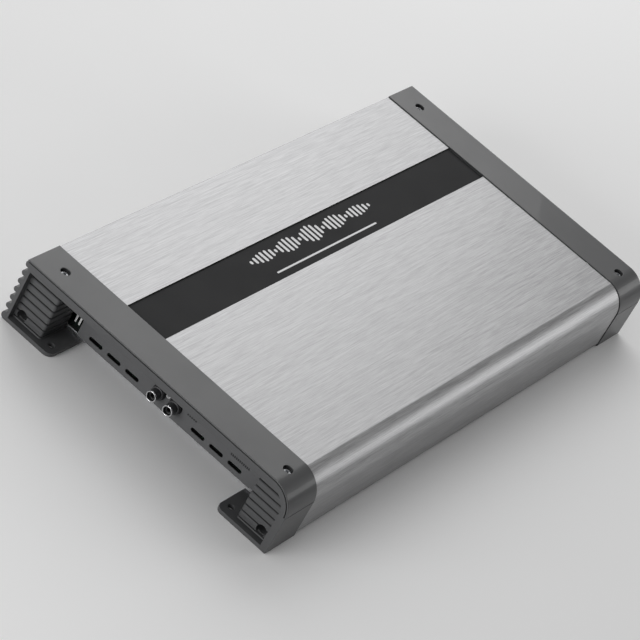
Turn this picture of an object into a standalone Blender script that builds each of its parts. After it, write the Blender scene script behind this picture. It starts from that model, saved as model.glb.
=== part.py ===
"""Car amplifier: an extruded heat-sink body between two cast end frames, with its boards and fittings.

Metres, +Z up. +X runs from the signal end to the power end, +Y towards the ribbed side, and the
origin is on the support plane under the middle of the amplifier.
"""

import math

import bmesh
import bpy
from mathutils import Matrix, Vector

MM = 0.001

# Driving dimensions
LENGTH = 480 * MM
WIDTH = 246 * MM
HEIGHT = 52.5 * MM
FRAME_DEPTH = 34 * MM
GAP = 0.3 * MM
END_RADIUS = 20 * MM
SEGMENTS = 20

HALF_LENGTH = LENGTH / 2
HALF_WIDTH = WIDTH / 2
BODY_END = HALF_LENGTH - FRAME_DEPTH

# Half-round ribs along the +Y side
RIB_COUNT = 7
RIB_PITCH = 7.42 * MM
RIB_FIRST = 4.4 * MM
RIB_RADIUS = 2.2 * MM
RIB_DEPTH = 3.2 * MM
RIB_STEPS = 5
RIB_SWEEP = math.radians(105)

# Heat-sink extrusion
BODY_INSET = 0.6 * MM
BODY_TOP = HEIGHT - 0.8 * MM
BODY_BOTTOM = 2 * MM
BODY_CEILING = 47 * MM
BODY_WALL = 4 * MM
CURVE_STEPS = 10
RIB_WALL_Y = 116.5 * MM
PORT_Y = 110.8 * MM
PORT_Z = 8.5 * MM
PORT_RADIUS = 1.9 * MM
PORT_BLOCK_Y = 106 * MM
PORT_BLOCK_TOP = 13.3 * MM
LEDGE_Y = 100 * MM
LEDGE_LOW = 6.3 * MM
LEDGE_HIGH = 8.3 * MM
FIN_YS = (83.8 * MM, 87.3 * MM)
FIN_THICKNESS = 1.4 * MM
FIN_TIP = 12 * MM
STRIPE_LOW_Y = 23.5 * MM
STRIPE_HIGH_Y = 58.9 * MM
STRIPE_CHANNEL = 2.1 * MM
STRIPE_THICKNESS = 0.8 * MM
BAR_COUNT = 31
BAR_PITCH = 5 * MM
BAR_WIDTH = 3 * MM
BAR_HALF_NOTCH = 0.4 * MM
BAR_SHORTEST = 1.6 * MM
BAR_SWING = 6.4 * MM
BAR_LINE_Y = 46.5 * MM
RULE_HALF_LENGTH = 64 * MM
RULE_YS = (29.5 * MM, 31 * MM)

# Cast end frames
COVER_THICKNESS = 1.2 * MM
COVER_LIP_Z = 33.3 * MM
BAND_LOW = 45 * MM
BAND_THICKNESS = 4.5 * MM
FOOT_INNER_Y = 77 * MM
FOOT_THICKNESS = 3.3 * MM
FOOT_CORNER = 6 * MM
TOWER_INNER_Y = 91.2 * MM
TOWER_RECESS = 5.5 * MM
POCKET_OUTER_Y = 117.1 * MM
GROOVE_COUNT = 7
GROOVE_FIRST = 4.7 * MM
GROOVE_PITCH = 5.85 * MM
GROOVE_HEIGHT = 1.1 * MM
GROOVE_DEPTH = 2.2 * MM
FIXING_HOLE = (9.5 * MM, 83.7 * MM, 2.5 * MM)
END_BORE_RADIUS = 4.2 * MM
END_BORE_DEPTH = 24 * MM
COVER_SCREW_DEPTH = 16.7 * MM
COVER_SCREW_Y = 102 * MM
COVER_HOLE_RADIUS = 3.65 * MM
COVER_SEAT_Z = 47.2 * MM

# End panels
PANEL_DEPTH = 30 * MM
PANEL_THICKNESS = 2 * MM
PANEL_HALF_WIDTH = 80 * MM
PANEL_LOW = 7.3 * MM
PANEL_HIGH = 50.8 * MM
PANEL_FLANGE = 3.7 * MM
PANEL_EAR_Y = -90.6 * MM
PANEL_EAR_HIGH = 44.4 * MM
SLOT_YS = (30.6 * MM, 47.6 * MM, 64.6 * MM)
SLOT_LENGTH = 12.4 * MM
SLOT_HEIGHT = 3.2 * MM
SLOT_Z = 13.2 * MM
VENT_Z = 39 * MM

# Signal end
SOCKET_YS = (7.5 * MM, -7.5 * MM)
SOCKET_Z = 18.5 * MM
SOCKET_BOSS_RADIUS = 5.3 * MM
SOCKET_SCREW_Z = 22 * MM
KNOB_YS = {"gain_knob": -30 * MM, "low_pass_knob": -47 * MM, "bass_boost_knob": -64 * MM}
CONTROL_Z = 36 * MM
STEM_DEPTH = 33.9 * MM
SWITCH_Y = 34 * MM
SWITCH_TRAVEL = 2 * MM
LIGHT_Y = 56 * MM

# Power end
TERMINAL_LOW = 10.6 * MM
TERMINAL_HIGH = 28 * MM
TERMINAL_FRONT = 15 * MM
POWER_YS = (-64 * MM, -47 * MM, -30 * MM)
POWER_BORE = 9 * MM
SPEAKER_YS = (27 * MM, 40 * MM, 53 * MM, 66 * MM)
SPEAKER_BORE = 7 * MM
CLAMP_DEPTH = 21 * MM
FUSE_YS = (-6.5 * MM, 6.5 * MM)
FUSE_BODY = (10 * MM, 5 * MM, 19 * MM)
FUSE_FRONT = 12 * MM
FUSE_Z = 20 * MM
HOLDER_HALF_WIDTH = 14 * MM
HOLDER_FRONT = 17 * MM

# Boards and what stands on them
BOARD_LOW = 8.6 * MM
BOARD_HIGH = 10.2 * MM
PART_BASE = BOARD_HIGH + GAP
BOTTOM_LOW = 4.8 * MM
BOTTOM_HIGH = 6 * MM
BOTTOM_SCREW_X = 150 * MM
BOTTOM_SCREW_Y = 102.8 * MM
BOTTOM_VENT_X = 90 * MM
BOTTOM_VENT_LENGTH = 40 * MM
BOTTOM_VENT_WIDTH = 3 * MM
VENT_ROW_PITCH = 16 * MM
COILS = {"supply_transformer": (95 * MM, -8 * MM, 26 * MM, 13 * MM)}
COILS["output_choke"] = (-85 * MM, -30 * MM, 14 * MM, 7 * MM)
CAPACITOR_X = 20 * MM
CAPACITOR_YS = (35 * MM, 5 * MM, -25 * MM)
CAPACITOR_RADIUS = 12.5 * MM
CAPACITOR_HEIGHT = 33 * MM
TRANSISTOR_XS = (-55 * MM, -15 * MM)
TRANSISTOR_ZS = (14 * MM, 32 * MM)
CLAMP_BAR_XS = (-75 * MM, 5 * MM)
CLAMP_BAR_ZS = (20 * MM, 28 * MM)


def clear_scene():
    for thing in list(bpy.data.objects):
        bpy.data.objects.remove(thing, do_unlink=True)


def finish(name, colour, metallic, roughness):
    material = bpy.data.materials.new(name)
    material.use_nodes = True
    shader = material.node_tree.nodes["Principled BSDF"]
    shader.inputs["Base Color"].default_value = (*colour, 1.0)
    shader.inputs["Metallic"].default_value = metallic
    shader.inputs["Roughness"].default_value = roughness
    material.diffuse_color = (*colour, 1.0)
    return material


# Shapes: each returns a closed bmesh in the amplifier's own coordinates


def prism(outline, axis, low, high):
    """Extrude a closed outline along axis; its points are the other two coordinates in X, Y, Z order."""
    place = {
        "X": lambda a, b: (low, a, b),
        "Y": lambda a, b: (a, low, b),
        "Z": lambda a, b: (a, b, low),
    }[axis]
    bm = bmesh.new()
    face = bm.faces.new([bm.verts.new(place(a, b)) for a, b in outline])
    raised = bmesh.ops.extrude_face_region(bm, geom=[face])["geom"]
    travel = Vector([high - low if axis == name else 0 for name in "XYZ"])
    bmesh.ops.translate(bm, verts=[v for v in raised if isinstance(v, bmesh.types.BMVert)], vec=travel)
    bmesh.ops.recalc_face_normals(bm, faces=bm.faces)
    return bm


def block(xs, ys, zs):
    """A box between two values on each axis, given in either order."""
    size = [abs(b - a) for a, b in (xs, ys, zs)]
    middle = [(a + b) / 2 for a, b in (xs, ys, zs)]
    bm = bmesh.new()
    bmesh.ops.create_cube(bm, size=1, matrix=Matrix.Translation(middle) @ Matrix.Diagonal((*size, 1)))
    return bm


def turned(profile, centre=(0, 0, 0), axis="Z", segments=SEGMENTS):
    """Spin a profile of (distance along the axis, radius) points about axis."""
    bm = bmesh.new()
    verts = [bm.verts.new((radius, 0, along)) for along, radius in profile]
    pairs = list(zip(verts, verts[1:]))
    if profile[0][1] > 0:
        pairs.append((verts[-1], verts[0]))
    edges = [bm.edges.new(pair) for pair in pairs]
    bmesh.ops.spin(
        bm, geom=verts + edges, axis=(0, 0, 1), angle=math.tau, steps=segments, use_merge=True
    )
    bmesh.ops.remove_doubles(bm, verts=bm.verts, dist=0.001 * MM)
    turn = {
        "Z": Matrix.Identity(4),
        "X": Matrix.Rotation(math.radians(90), 4, "Y"),
        "-X": Matrix.Rotation(math.radians(-90), 4, "Y"),
    }[axis]
    bmesh.ops.transform(bm, matrix=Matrix.Translation(centre) @ turn, verts=bm.verts)
    bmesh.ops.recalc_face_normals(bm, faces=bm.faces)
    return bm


def rod(radius, low, high, centre=(0, 0, 0), axis="Z", segments=SEGMENTS):
    return turned([(low, 0), (low, radius), (high, radius), (high, 0)], centre, axis, segments)


def joined(*shapes):
    """Several separate shapes in one mesh."""
    whole = bmesh.new()
    for shape in shapes:
        mesh = bpy.data.meshes.new("joined")
        shape.to_mesh(mesh)
        whole.from_mesh(mesh)
        bpy.data.meshes.remove(mesh)
        shape.free()
    return whole


def arc(centre, radius, start, end, steps):
    """Points of a circular arc; angles in radians from the first coordinate to the second."""
    angles = [start + (end - start) * step / steps for step in range(steps + 1)]
    return [(centre[0] + radius * math.cos(a), centre[1] + radius * math.sin(a)) for a in angles]


def stadium(centre, length, height, steps=4):
    """A slot outline with round ends, long in the first coordinate."""
    radius = height / 2
    reach = length / 2 - radius
    right = arc((centre[0] + reach, centre[1]), radius, -math.pi / 2, math.pi / 2, steps)
    left = arc((centre[0] - reach, centre[1]), radius, math.pi / 2, 3 * math.pi / 2, steps)
    return right + left


# Objects


def flat_mesh(name, bm, material):
    mesh = bpy.data.meshes.new(name)
    bm.to_mesh(mesh)
    bm.free()
    mesh.materials.append(material)
    return mesh


def smooth_mesh(name, bm, material):
    mesh = flat_mesh(name, bm, material)
    mesh.shade_smooth()
    mesh.set_sharp_from_angle(angle=math.radians(35))
    return mesh


def add_piece(name, bm, material, origin=(0, 0, 0), smooth=False):
    """Make an object whose origin is at origin, with its mesh where bm has it."""
    bmesh.ops.translate(bm, verts=bm.verts, vec=-Vector(origin))
    make_mesh = smooth_mesh if smooth else flat_mesh
    return place_mesh(name, make_mesh(name, bm, material), origin)


def place_mesh(name, mesh, location, rotation=(0, 0, 0)):
    piece = bpy.data.objects.new(name, mesh)
    piece.location = location
    piece.rotation_euler = rotation
    piece.parent = ASSEMBLY
    bpy.context.scene.collection.objects.link(piece)
    return piece


def combine(piece, bm, operation):
    mesh = bpy.data.meshes.new(piece.name + "_tool")
    bmesh.ops.translate(bm, verts=bm.verts, vec=-piece.location)
    bm.to_mesh(mesh)
    bm.free()
    tool = bpy.data.objects.new(piece.name + "_tool", mesh)
    tool.parent = piece
    tool.hide_render = True
    tool.display_type = "WIRE"
    bpy.context.scene.collection.objects.link(tool)
    modifier = piece.modifiers.new(operation.title(), "BOOLEAN")
    modifier.operation = operation
    modifier.solver = "EXACT"
    modifier.object = tool


def cut(piece, *shapes):
    combine(piece, joined(*shapes), "DIFFERENCE")


def fuse(piece, *shapes):
    combine(piece, joined(*shapes), "UNION")


def at(end, depth):
    """X of a plane that lies depth inside the outer face of one end; end is -1 or 1."""
    return end * (HALF_LENGTH - depth)


# Outlines across the amplifier, as (Y, Z) points


def ribbed_side(inset, bottom, top):
    """The +Y side from the bottom up: a round bottom edge, then half-round ribs in a flat wall."""
    peak = HALF_WIDTH - inset
    valley = peak - RIB_DEPTH
    first_top = RIB_FIRST + RIB_RADIUS
    foot_radius = (first_top - bottom) / 2
    foot = (peak - foot_radius, bottom + foot_radius)
    points = [(valley - 2 * MM, bottom)] + arc(foot, foot_radius, -math.pi / 2, RIB_SWEEP, RIB_STEPS)
    for rib in range(1, RIB_COUNT - 1):
        centre = (peak - RIB_RADIUS, RIB_FIRST + rib * RIB_PITCH)
        points.append((valley, centre[1] - RIB_RADIUS))
        points += arc(centre, RIB_RADIUS, -RIB_SWEEP, RIB_SWEEP, RIB_STEPS)
        points.append((valley, centre[1] + RIB_RADIUS))
    last = (peak - RIB_RADIUS, RIB_FIRST + (RIB_COUNT - 1) * RIB_PITCH)
    points.append((valley, last[1] - RIB_RADIUS))
    points += arc(last, RIB_RADIUS, -RIB_SWEEP, 0, RIB_STEPS)
    points.append((peak, top - 0.6 * MM))
    points.append((peak - 0.6 * MM, top))
    return points


def round_side(inset, bottom, top):
    """The -Y side from the top down: a quarter circle, then a flat wall."""
    centre = (-HALF_WIDTH + END_RADIUS, HEIGHT - END_RADIUS)
    radius = END_RADIUS - inset
    start = math.pi - math.asin((top - centre[1]) / radius) if top < centre[1] + radius else math.pi / 2
    points = arc(centre, radius, start, math.pi, CURVE_STEPS)
    return points + [(-HALF_WIDTH + inset, bottom + 1 * MM), (-HALF_WIDTH + inset + 1 * MM, bottom)]


def build_body(finishes):
    outer = ribbed_side(BODY_INSET, BODY_BOTTOM, BODY_TOP) + round_side(BODY_INSET, BODY_BOTTOM, BODY_TOP)
    wall_y = -HALF_WIDTH + BODY_WALL
    curve_centre = (-HALF_WIDTH + END_RADIUS, HEIGHT - END_RADIUS)
    curve_radius = END_RADIUS - BODY_WALL
    curve_end = math.asin((BODY_CEILING - curve_centre[1]) / curve_radius)
    port = [
        (PORT_BLOCK_Y, BODY_BOTTOM),
        (PORT_BLOCK_Y, LEDGE_LOW),
        (LEDGE_Y, LEDGE_LOW),
        (LEDGE_Y, LEDGE_HIGH),
        (PORT_BLOCK_Y, LEDGE_HIGH),
        (PORT_BLOCK_Y, PORT_BLOCK_TOP),
    ]
    inner = [(-y, z) for y, z in port] + [(wall_y, PORT_BLOCK_TOP)]
    inner += arc(curve_centre, curve_radius, math.pi, math.pi - curve_end, CURVE_STEPS // 2)
    for middle in (-FIN_YS[1], -FIN_YS[0], FIN_YS[0], FIN_YS[1]):
        left, right = middle - FIN_THICKNESS / 2, middle + FIN_THICKNESS / 2
        inner += [(left, BODY_CEILING), (left, FIN_TIP), (right, FIN_TIP), (right, BODY_CEILING)]
    inner += [(RIB_WALL_Y, BODY_CEILING), (RIB_WALL_Y, PORT_BLOCK_TOP)] + port[::-1]
    reach = BODY_END - GAP
    body = add_piece("heatsink_body", prism(outer + inner, "X", -reach, reach), finishes["aluminium"])
    channel = block(
        (-BODY_END, BODY_END), (STRIPE_LOW_Y, STRIPE_HIGH_Y), (BODY_TOP - STRIPE_CHANNEL, HEIGHT)
    )
    ports = [rod(PORT_RADIUS, -BODY_END, BODY_END, (0, side * PORT_Y, PORT_Z), "X") for side in (-1, 1)]
    holes = [
        rod(PORT_RADIUS, BOTTOM_LOW, LEDGE_HIGH + GAP, (x, y, 0), segments=12)
        for x in (-BOTTOM_SCREW_X, BOTTOM_SCREW_X)
        for y in (-BOTTOM_SCREW_Y, BOTTOM_SCREW_Y)
    ]
    cut(body, channel, *ports, *holes)


def build_stripe(finishes):
    reach = BODY_END - 2 * GAP
    floor = BODY_TOP - STRIPE_CHANNEL + GAP
    top = floor + STRIPE_THICKNESS
    ys = (STRIPE_LOW_Y + GAP, STRIPE_HIGH_Y - GAP)
    add_piece("stripe_inlay", block((-reach, reach), ys, (floor, top)), finishes["stripe"])

    last = BAR_COUNT - 1
    half = BAR_WIDTH / 2
    upper = []
    for bar in range(BAR_COUNT):
        place = (bar - last / 2) * BAR_PITCH
        swing = 2 * bar / last - 1
        wave = abs(math.cos(2.5 * math.pi * swing)) * (1 - 0.6 * abs(swing))
        height = BAR_SHORTEST + BAR_SWING * wave
        upper += [(place - half, BAR_HALF_NOTCH), (place - half, height)]
        upper += [(place + half, height), (place + half, BAR_HALF_NOTCH)]
    outline = upper + [(x, -y) for x, y in reversed(upper)]
    outline = [(x, BAR_LINE_Y + y) for x, y in outline]
    printed = (top + GAP, top + 2 * GAP)
    add_piece("stripe_motif", prism(outline, "Z", *printed), finishes["print"])
    rule = block((-RULE_HALF_LENGTH, RULE_HALF_LENGTH), RULE_YS, printed)
    add_piece("stripe_rule", rule, finishes["print"])


def build_bottom(finishes):
    reach = BODY_END - GAP
    plate = block((-reach, reach), (-PORT_BLOCK_Y + GAP, PORT_BLOCK_Y - GAP), (BOTTOM_LOW, BOTTOM_HIGH))
    cover = add_piece("bottom_cover", plate, finishes["steel"])
    places = [(x, y) for x in (-BOTTOM_SCREW_X, BOTTOM_SCREW_X) for y in (-BOTTOM_SCREW_Y, BOTTOM_SCREW_Y)]
    holes = [rod(PORT_RADIUS, 0, 2 * BOTTOM_HIGH, (x, y, 0), segments=12) for x, y in places]
    outlines = [
        stadium((x, row * VENT_ROW_PITCH), BOTTOM_VENT_LENGTH, BOTTOM_VENT_WIDTH)
        for x in (-BOTTOM_VENT_X, BOTTOM_VENT_X)
        for row in range(-2, 3)
    ]
    vents = [prism(outline, "Z", 0, 2 * BOTTOM_HIGH) for outline in outlines]
    cut(cover, *holes, *vents)
    head = BOTTOM_LOW - GAP
    profile = [(head - 1.6 * MM, 0), (head - 1.6 * MM, 1.8 * MM), (head - 1 * MM, 2.7 * MM)]
    profile += [(head, 2.7 * MM), (head, 1.5 * MM), (LEDGE_HIGH, 1.5 * MM), (LEDGE_HIGH, 0)]
    screw = smooth_mesh("bottom_screw", turned(profile, segments=12), finishes["screw"])
    for number, (x, y) in enumerate(places, 1):
        place_mesh(f"bottom_screw_{number}", screw, (x, y, 0))


def foot_pocket(side):
    """The open front pocket of a foot, as (Y, Z) points: its outer wall follows the frame's own side."""
    low = [(side * (TOWER_INNER_Y - 1 * MM), FOOT_THICKNESS), (side * POCKET_OUTER_Y, FOOT_THICKNESS)]
    if side > 0:
        return low + [(POCKET_OUTER_Y, BAND_LOW), (TOWER_INNER_Y - 1 * MM, BAND_LOW)]
    centre = (-HALF_WIDTH + END_RADIUS, HEIGHT - END_RADIUS)
    radius = POCKET_OUTER_Y + centre[0]
    finish_angle = math.pi - math.asin((BAND_LOW - centre[1]) / radius)
    curve = arc(centre, radius, math.pi, finish_angle, CURVE_STEPS // 2)
    return low + curve + [(-TOWER_INNER_Y + 1 * MM, BAND_LOW)]


def pocket_limit(side, z):
    """How far out the foot's pocket reaches at height z."""
    if side > 0 or z < HEIGHT - END_RADIUS:
        return POCKET_OUTER_Y
    radius = POCKET_OUTER_Y - HALF_WIDTH + END_RADIUS
    return HALF_WIDTH - END_RADIUS + math.sqrt(radius**2 - (z - HEIGHT + END_RADIUS) ** 2)


def build_end_frame(name, end, finishes):
    """The casting that closes one end: a front band, two feet, and a ribbed tower on each foot."""
    top = HEIGHT - COVER_THICKNESS - GAP
    back = FRAME_DEPTH - GAP
    clearance = COVER_THICKNESS + GAP
    outline = ribbed_side(0, 0, top)
    outline += round_side(clearance, 0, top)[:-2]
    step_z = COVER_LIP_Z - GAP
    outline += [(-HALF_WIDTH + clearance, step_z), (-HALF_WIDTH, step_z), (-HALF_WIDTH, 1 * MM)]
    outline += [(-HALF_WIDTH + 1 * MM, 0)]
    frame = add_piece(name, prism(outline, "X", at(end, 0), at(end, back)), finishes["casting"])

    beyond = -1 * MM
    flare = FOOT_INNER_Y + FOOT_CORNER
    right = [(beyond, flare)] + arc((FOOT_CORNER, flare), FOOT_CORNER, math.pi, 1.5 * math.pi, 4)
    right += [(back + 1 * MM, FOOT_INNER_Y)]
    between = [(at(end, d), y) for d, y in right] + [(at(end, d), -y) for d, y in reversed(right)]
    cut(frame, prism(between, "Z", beyond, BAND_LOW))
    cut(
        frame,
        block(
            (at(end, BAND_THICKNESS), at(end, back + 1 * MM)),
            (-PANEL_HALF_WIDTH - 3 * MM, PANEL_HALF_WIDTH + 3 * MM),
            (FOOT_THICKNESS, HEIGHT),
        ),
    )
    for side in (-1, 1):
        aisle = ((FOOT_INNER_Y - 1 * MM) * side, TOWER_INNER_Y * side)
        cut(
            frame,
            block((at(end, beyond), at(end, back + 1 * MM)), aisle, (FOOT_THICKNESS, BAND_LOW)),
        )
        cut(frame, prism(foot_pocket(side), "X", at(end, beyond), at(end, TOWER_RECESS)))
        cut(frame, *tower_grooves(end, side))
        cut(
            frame,
            block(
                (at(end, 12 * MM), at(end, back + 1 * MM)),
                (95 * MM * side, 112.5 * MM * side),
                (14.5 * MM, 36 * MM),
            ),
            end_screw_bore(end, side),
            cover_screw_bore(end, side),
            rod(FIXING_HOLE[2], beyond, 5 * MM, (at(end, FIXING_HOLE[0]), side * FIXING_HOLE[1], 0)),
        )
    return frame


def tower_grooves(end, side):
    """The grooves between a tower's ribs, round its front and its inner side."""
    grooves = []
    for number in range(GROOVE_COUNT):
        z = GROOVE_FIRST + number * GROOVE_PITCH
        outer = pocket_limit(side, z + GROOVE_HEIGHT) - 0.2 * MM
        inner = TOWER_INNER_Y - 1 * MM
        back = FRAME_DEPTH + 1 * MM
        plan = [(TOWER_RECESS - 1 * MM, inner), (TOWER_RECESS - 1 * MM, outer)]
        plan += [(TOWER_RECESS + GROOVE_DEPTH, outer)]
        plan += [(TOWER_RECESS + GROOVE_DEPTH, TOWER_INNER_Y + GROOVE_DEPTH)]
        plan += [(back, TOWER_INNER_Y + GROOVE_DEPTH), (back, inner)]
        points = [(at(end, depth), side * y) for depth, y in plan]
        grooves.append(prism(points, "Z", z - GROOVE_HEIGHT / 2, z + GROOVE_HEIGHT / 2))
    return grooves


def end_screw_bore(end, side):
    """A deep bore for the screw that holds the frame to the body."""
    profile = [(-1 * MM, 0), (-1 * MM, END_BORE_RADIUS), (END_BORE_DEPTH, END_BORE_RADIUS)]
    profile += [(END_BORE_DEPTH, PORT_RADIUS), (FRAME_DEPTH + 1 * MM, PORT_RADIUS)]
    profile += [(FRAME_DEPTH + 1 * MM, 0)]
    axis = "X" if end < 0 else "-X"
    return turned(profile, (at(end, 0), side * PORT_Y, PORT_Z), axis)


def cover_screw_bore(end, side):
    profile = [(38.5 * MM, 0), (38.5 * MM, 1.8 * MM), (COVER_SEAT_Z, 1.8 * MM)]
    profile += [(COVER_SEAT_Z, COVER_HOLE_RADIUS), (HEIGHT, COVER_HOLE_RADIUS), (HEIGHT, 0)]
    return turned(profile, (at(end, COVER_SCREW_DEPTH), side * COVER_SCREW_Y, 0))


def build_end_cover(name, end, finishes):
    """The strip that wraps the top of an end frame and its round side."""
    centre = (-HALF_WIDTH + END_RADIUS, HEIGHT - END_RADIUS)
    lip = math.pi - math.asin((COVER_LIP_Z - centre[1]) / END_RADIUS)
    inner_radius = END_RADIUS - COVER_THICKNESS
    edge = HALF_WIDTH - 0.6 * MM
    outline = [(edge, HEIGHT - COVER_THICKNESS), (edge, HEIGHT)]
    outline += arc(centre, END_RADIUS, math.pi / 2, lip, CURVE_STEPS)
    outline += arc(centre, inner_radius, lip, math.pi / 2, CURVE_STEPS)
    cover = add_piece(
        name, prism(outline, "X", at(end, 0), at(end, FRAME_DEPTH - GAP)), finishes["cover"], smooth=True
    )
    holes = [
        rod(COVER_HOLE_RADIUS, BAND_LOW, HEIGHT + MM, (at(end, COVER_SCREW_DEPTH), y, 0))
        for y in (-COVER_SCREW_Y, COVER_SCREW_Y)
    ]
    cut(cover, *holes)


def socket_screw_profile(head_radius, head_height, radius, length):
    """A socket-head screw along +Z, with the underside of its head at 0 and its recess at the top."""
    key = head_radius * 0.52
    return [
        (-length, 0),
        (-length, radius),
        (0, radius),
        (0, head_radius),
        (head_height, head_radius),
        (head_height, key),
        (head_height * 0.45, key),
        (head_height * 0.45, 0),
    ]


def build_frame_screws(finishes):
    cover_profile = socket_screw_profile(2.75 * MM, 2.8 * MM, 1.5 * MM, 8 * MM)
    end_profile = socket_screw_profile(3.5 * MM, 3.5 * MM, 1.6 * MM, 26 * MM)
    cover_screw = smooth_mesh("cover_screw", turned(cover_profile, segments=16), finishes["screw"])
    end_screw = smooth_mesh("end_screw", turned(end_profile, segments=16), finishes["screw"])
    for end, end_name in ((-1, "input"), (1, "output")):
        for side, side_name in ((1, "left"), (-1, "right")):
            place = (at(end, COVER_SCREW_DEPTH), side * COVER_SCREW_Y, COVER_SEAT_Z + GAP)
            place_mesh(f"{end_name}_cover_screw_{side_name}", cover_screw, place)
            place = (at(end, END_BORE_DEPTH - GAP), side * PORT_Y, PORT_Z)
            turn = (0, end * math.pi / 2, 0)
            place_mesh(f"{end_name}_end_screw_{side_name}", end_screw, place, turn)


def build_panel(name, end, finishes):
    """A folded panel with a flange along its top and bottom that meets the body's end."""
    front, inside = PANEL_DEPTH, PANEL_DEPTH + PANEL_THICKNESS
    back = PANEL_DEPTH + PANEL_FLANGE
    fold = 1.5 * MM
    outline = [(front, PANEL_LOW), (back, PANEL_LOW), (back, PANEL_LOW + fold)]
    outline += [(inside, PANEL_LOW + fold), (inside, PANEL_HIGH - fold), (back, PANEL_HIGH - fold)]
    outline += [(back, PANEL_HIGH), (front, PANEL_HIGH)]
    points = [(at(end, depth), z) for depth, z in outline]
    panel = prism(points, "Y", -PANEL_HALF_WIDTH, PANEL_HALF_WIDTH)
    return add_piece(name, panel, finishes["panel"])


def panel_span(end):
    return (at(end, PANEL_DEPTH - 1 * MM), at(end, PANEL_DEPTH + PANEL_THICKNESS + 0.5 * MM))


def build_input_end(finishes):
    end = -1
    panel = build_panel("input_panel", end, finishes)
    ear = block(
        (at(end, PANEL_DEPTH), at(end, PANEL_DEPTH + PANEL_THICKNESS)),
        (PANEL_EAR_Y, 1 * MM - PANEL_HALF_WIDTH),
        (PANEL_LOW, PANEL_EAR_HIGH),
    )
    fuse(panel, ear)
    low, high = sorted(panel_span(end))
    holes = [
        prism(stadium((side * y, SLOT_Z), SLOT_LENGTH, SLOT_HEIGHT), "X", low, high)
        for side in (-1, 1)
        for y in SLOT_YS
    ]
    holes += [rod(SOCKET_BOSS_RADIUS + GAP, low, high, (0, y, SOCKET_Z), "X") for y in SOCKET_YS]
    holes += [rod(1.6 * MM, low, high, (0, 0, SOCKET_SCREW_Z), "X", 12)]
    holes += [rod(3.4 * MM, low, high, (0, y, CONTROL_Z), "X") for y in KNOB_YS.values()]
    holes += [rod(1.9 * MM, low, high, (0, LIGHT_Y, CONTROL_Z), "X", 12)]
    slot_half = SWITCH_TRAVEL + 1.8 * MM
    holes += [block((low, high), (SWITCH_Y - slot_half, SWITCH_Y + slot_half), (34 * MM, 38 * MM))]
    cut(panel, *holes)
    build_sockets(end, finishes)
    build_controls(end, finishes)


def build_sockets(end, finishes):
    """A pair of signal sockets: a moulded block behind the panel, and a metal shell and core in each."""
    behind = PANEL_DEPTH + PANEL_THICKNESS + GAP
    body = block((at(end, behind), at(end, 46 * MM)), (-15 * MM, 15 * MM), (PART_BASE, 27 * MM))
    moulding = add_piece("socket_block", body, finishes["black"])
    boss_front = 28.2 * MM
    fuse(
        moulding,
        *[
            rod(SOCKET_BOSS_RADIUS, at(end, boss_front), at(end, behind + 1 * MM), (0, y, SOCKET_Z), "X")
            for y in SOCKET_YS
        ],
    )
    screw_room = (at(end, 28 * MM), at(end, 45 * MM), (0, 0, SOCKET_SCREW_Z), "X", 12)
    cut(moulding, rod(1.4 * MM, *screw_room))

    mouth, root = 20 * MM, boss_front - GAP
    shell = [(mouth, 3.3 * MM), (mouth, 3.9 * MM), (mouth + 0.4 * MM, 4.15 * MM)]
    shell += [(root - 1.2 * MM, 4.15 * MM), (root - 1.2 * MM, 4.9 * MM), (root, 4.9 * MM), (root, 3.3 * MM)]
    core = [(root, 0), (root, 3 * MM), (mouth + 1.2 * MM, 3 * MM), (mouth + 1.2 * MM, 1.6 * MM)]
    core += [(mouth + 7 * MM, 1.6 * MM), (mouth + 7 * MM, 0)]
    for name, y in zip(("left", "right"), SOCKET_YS):
        place = (at(end, 0), y, SOCKET_Z)
        add_piece(f"socket_shell_{name}", turned(shell, place, "X"), finishes["chrome"], place, True)
        add_piece(f"socket_core_{name}", turned(core, place, "X"), finishes["black"], place, True)
    screw = socket_screw_profile(2.1 * MM, 1.2 * MM, 1.1 * MM, 8 * MM)
    place = (at(end, PANEL_DEPTH - GAP), 0, SOCKET_SCREW_Z)
    add_piece("socket_screw", turned(screw, place, "-X", 12), finishes["screw"], place, True)


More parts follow.
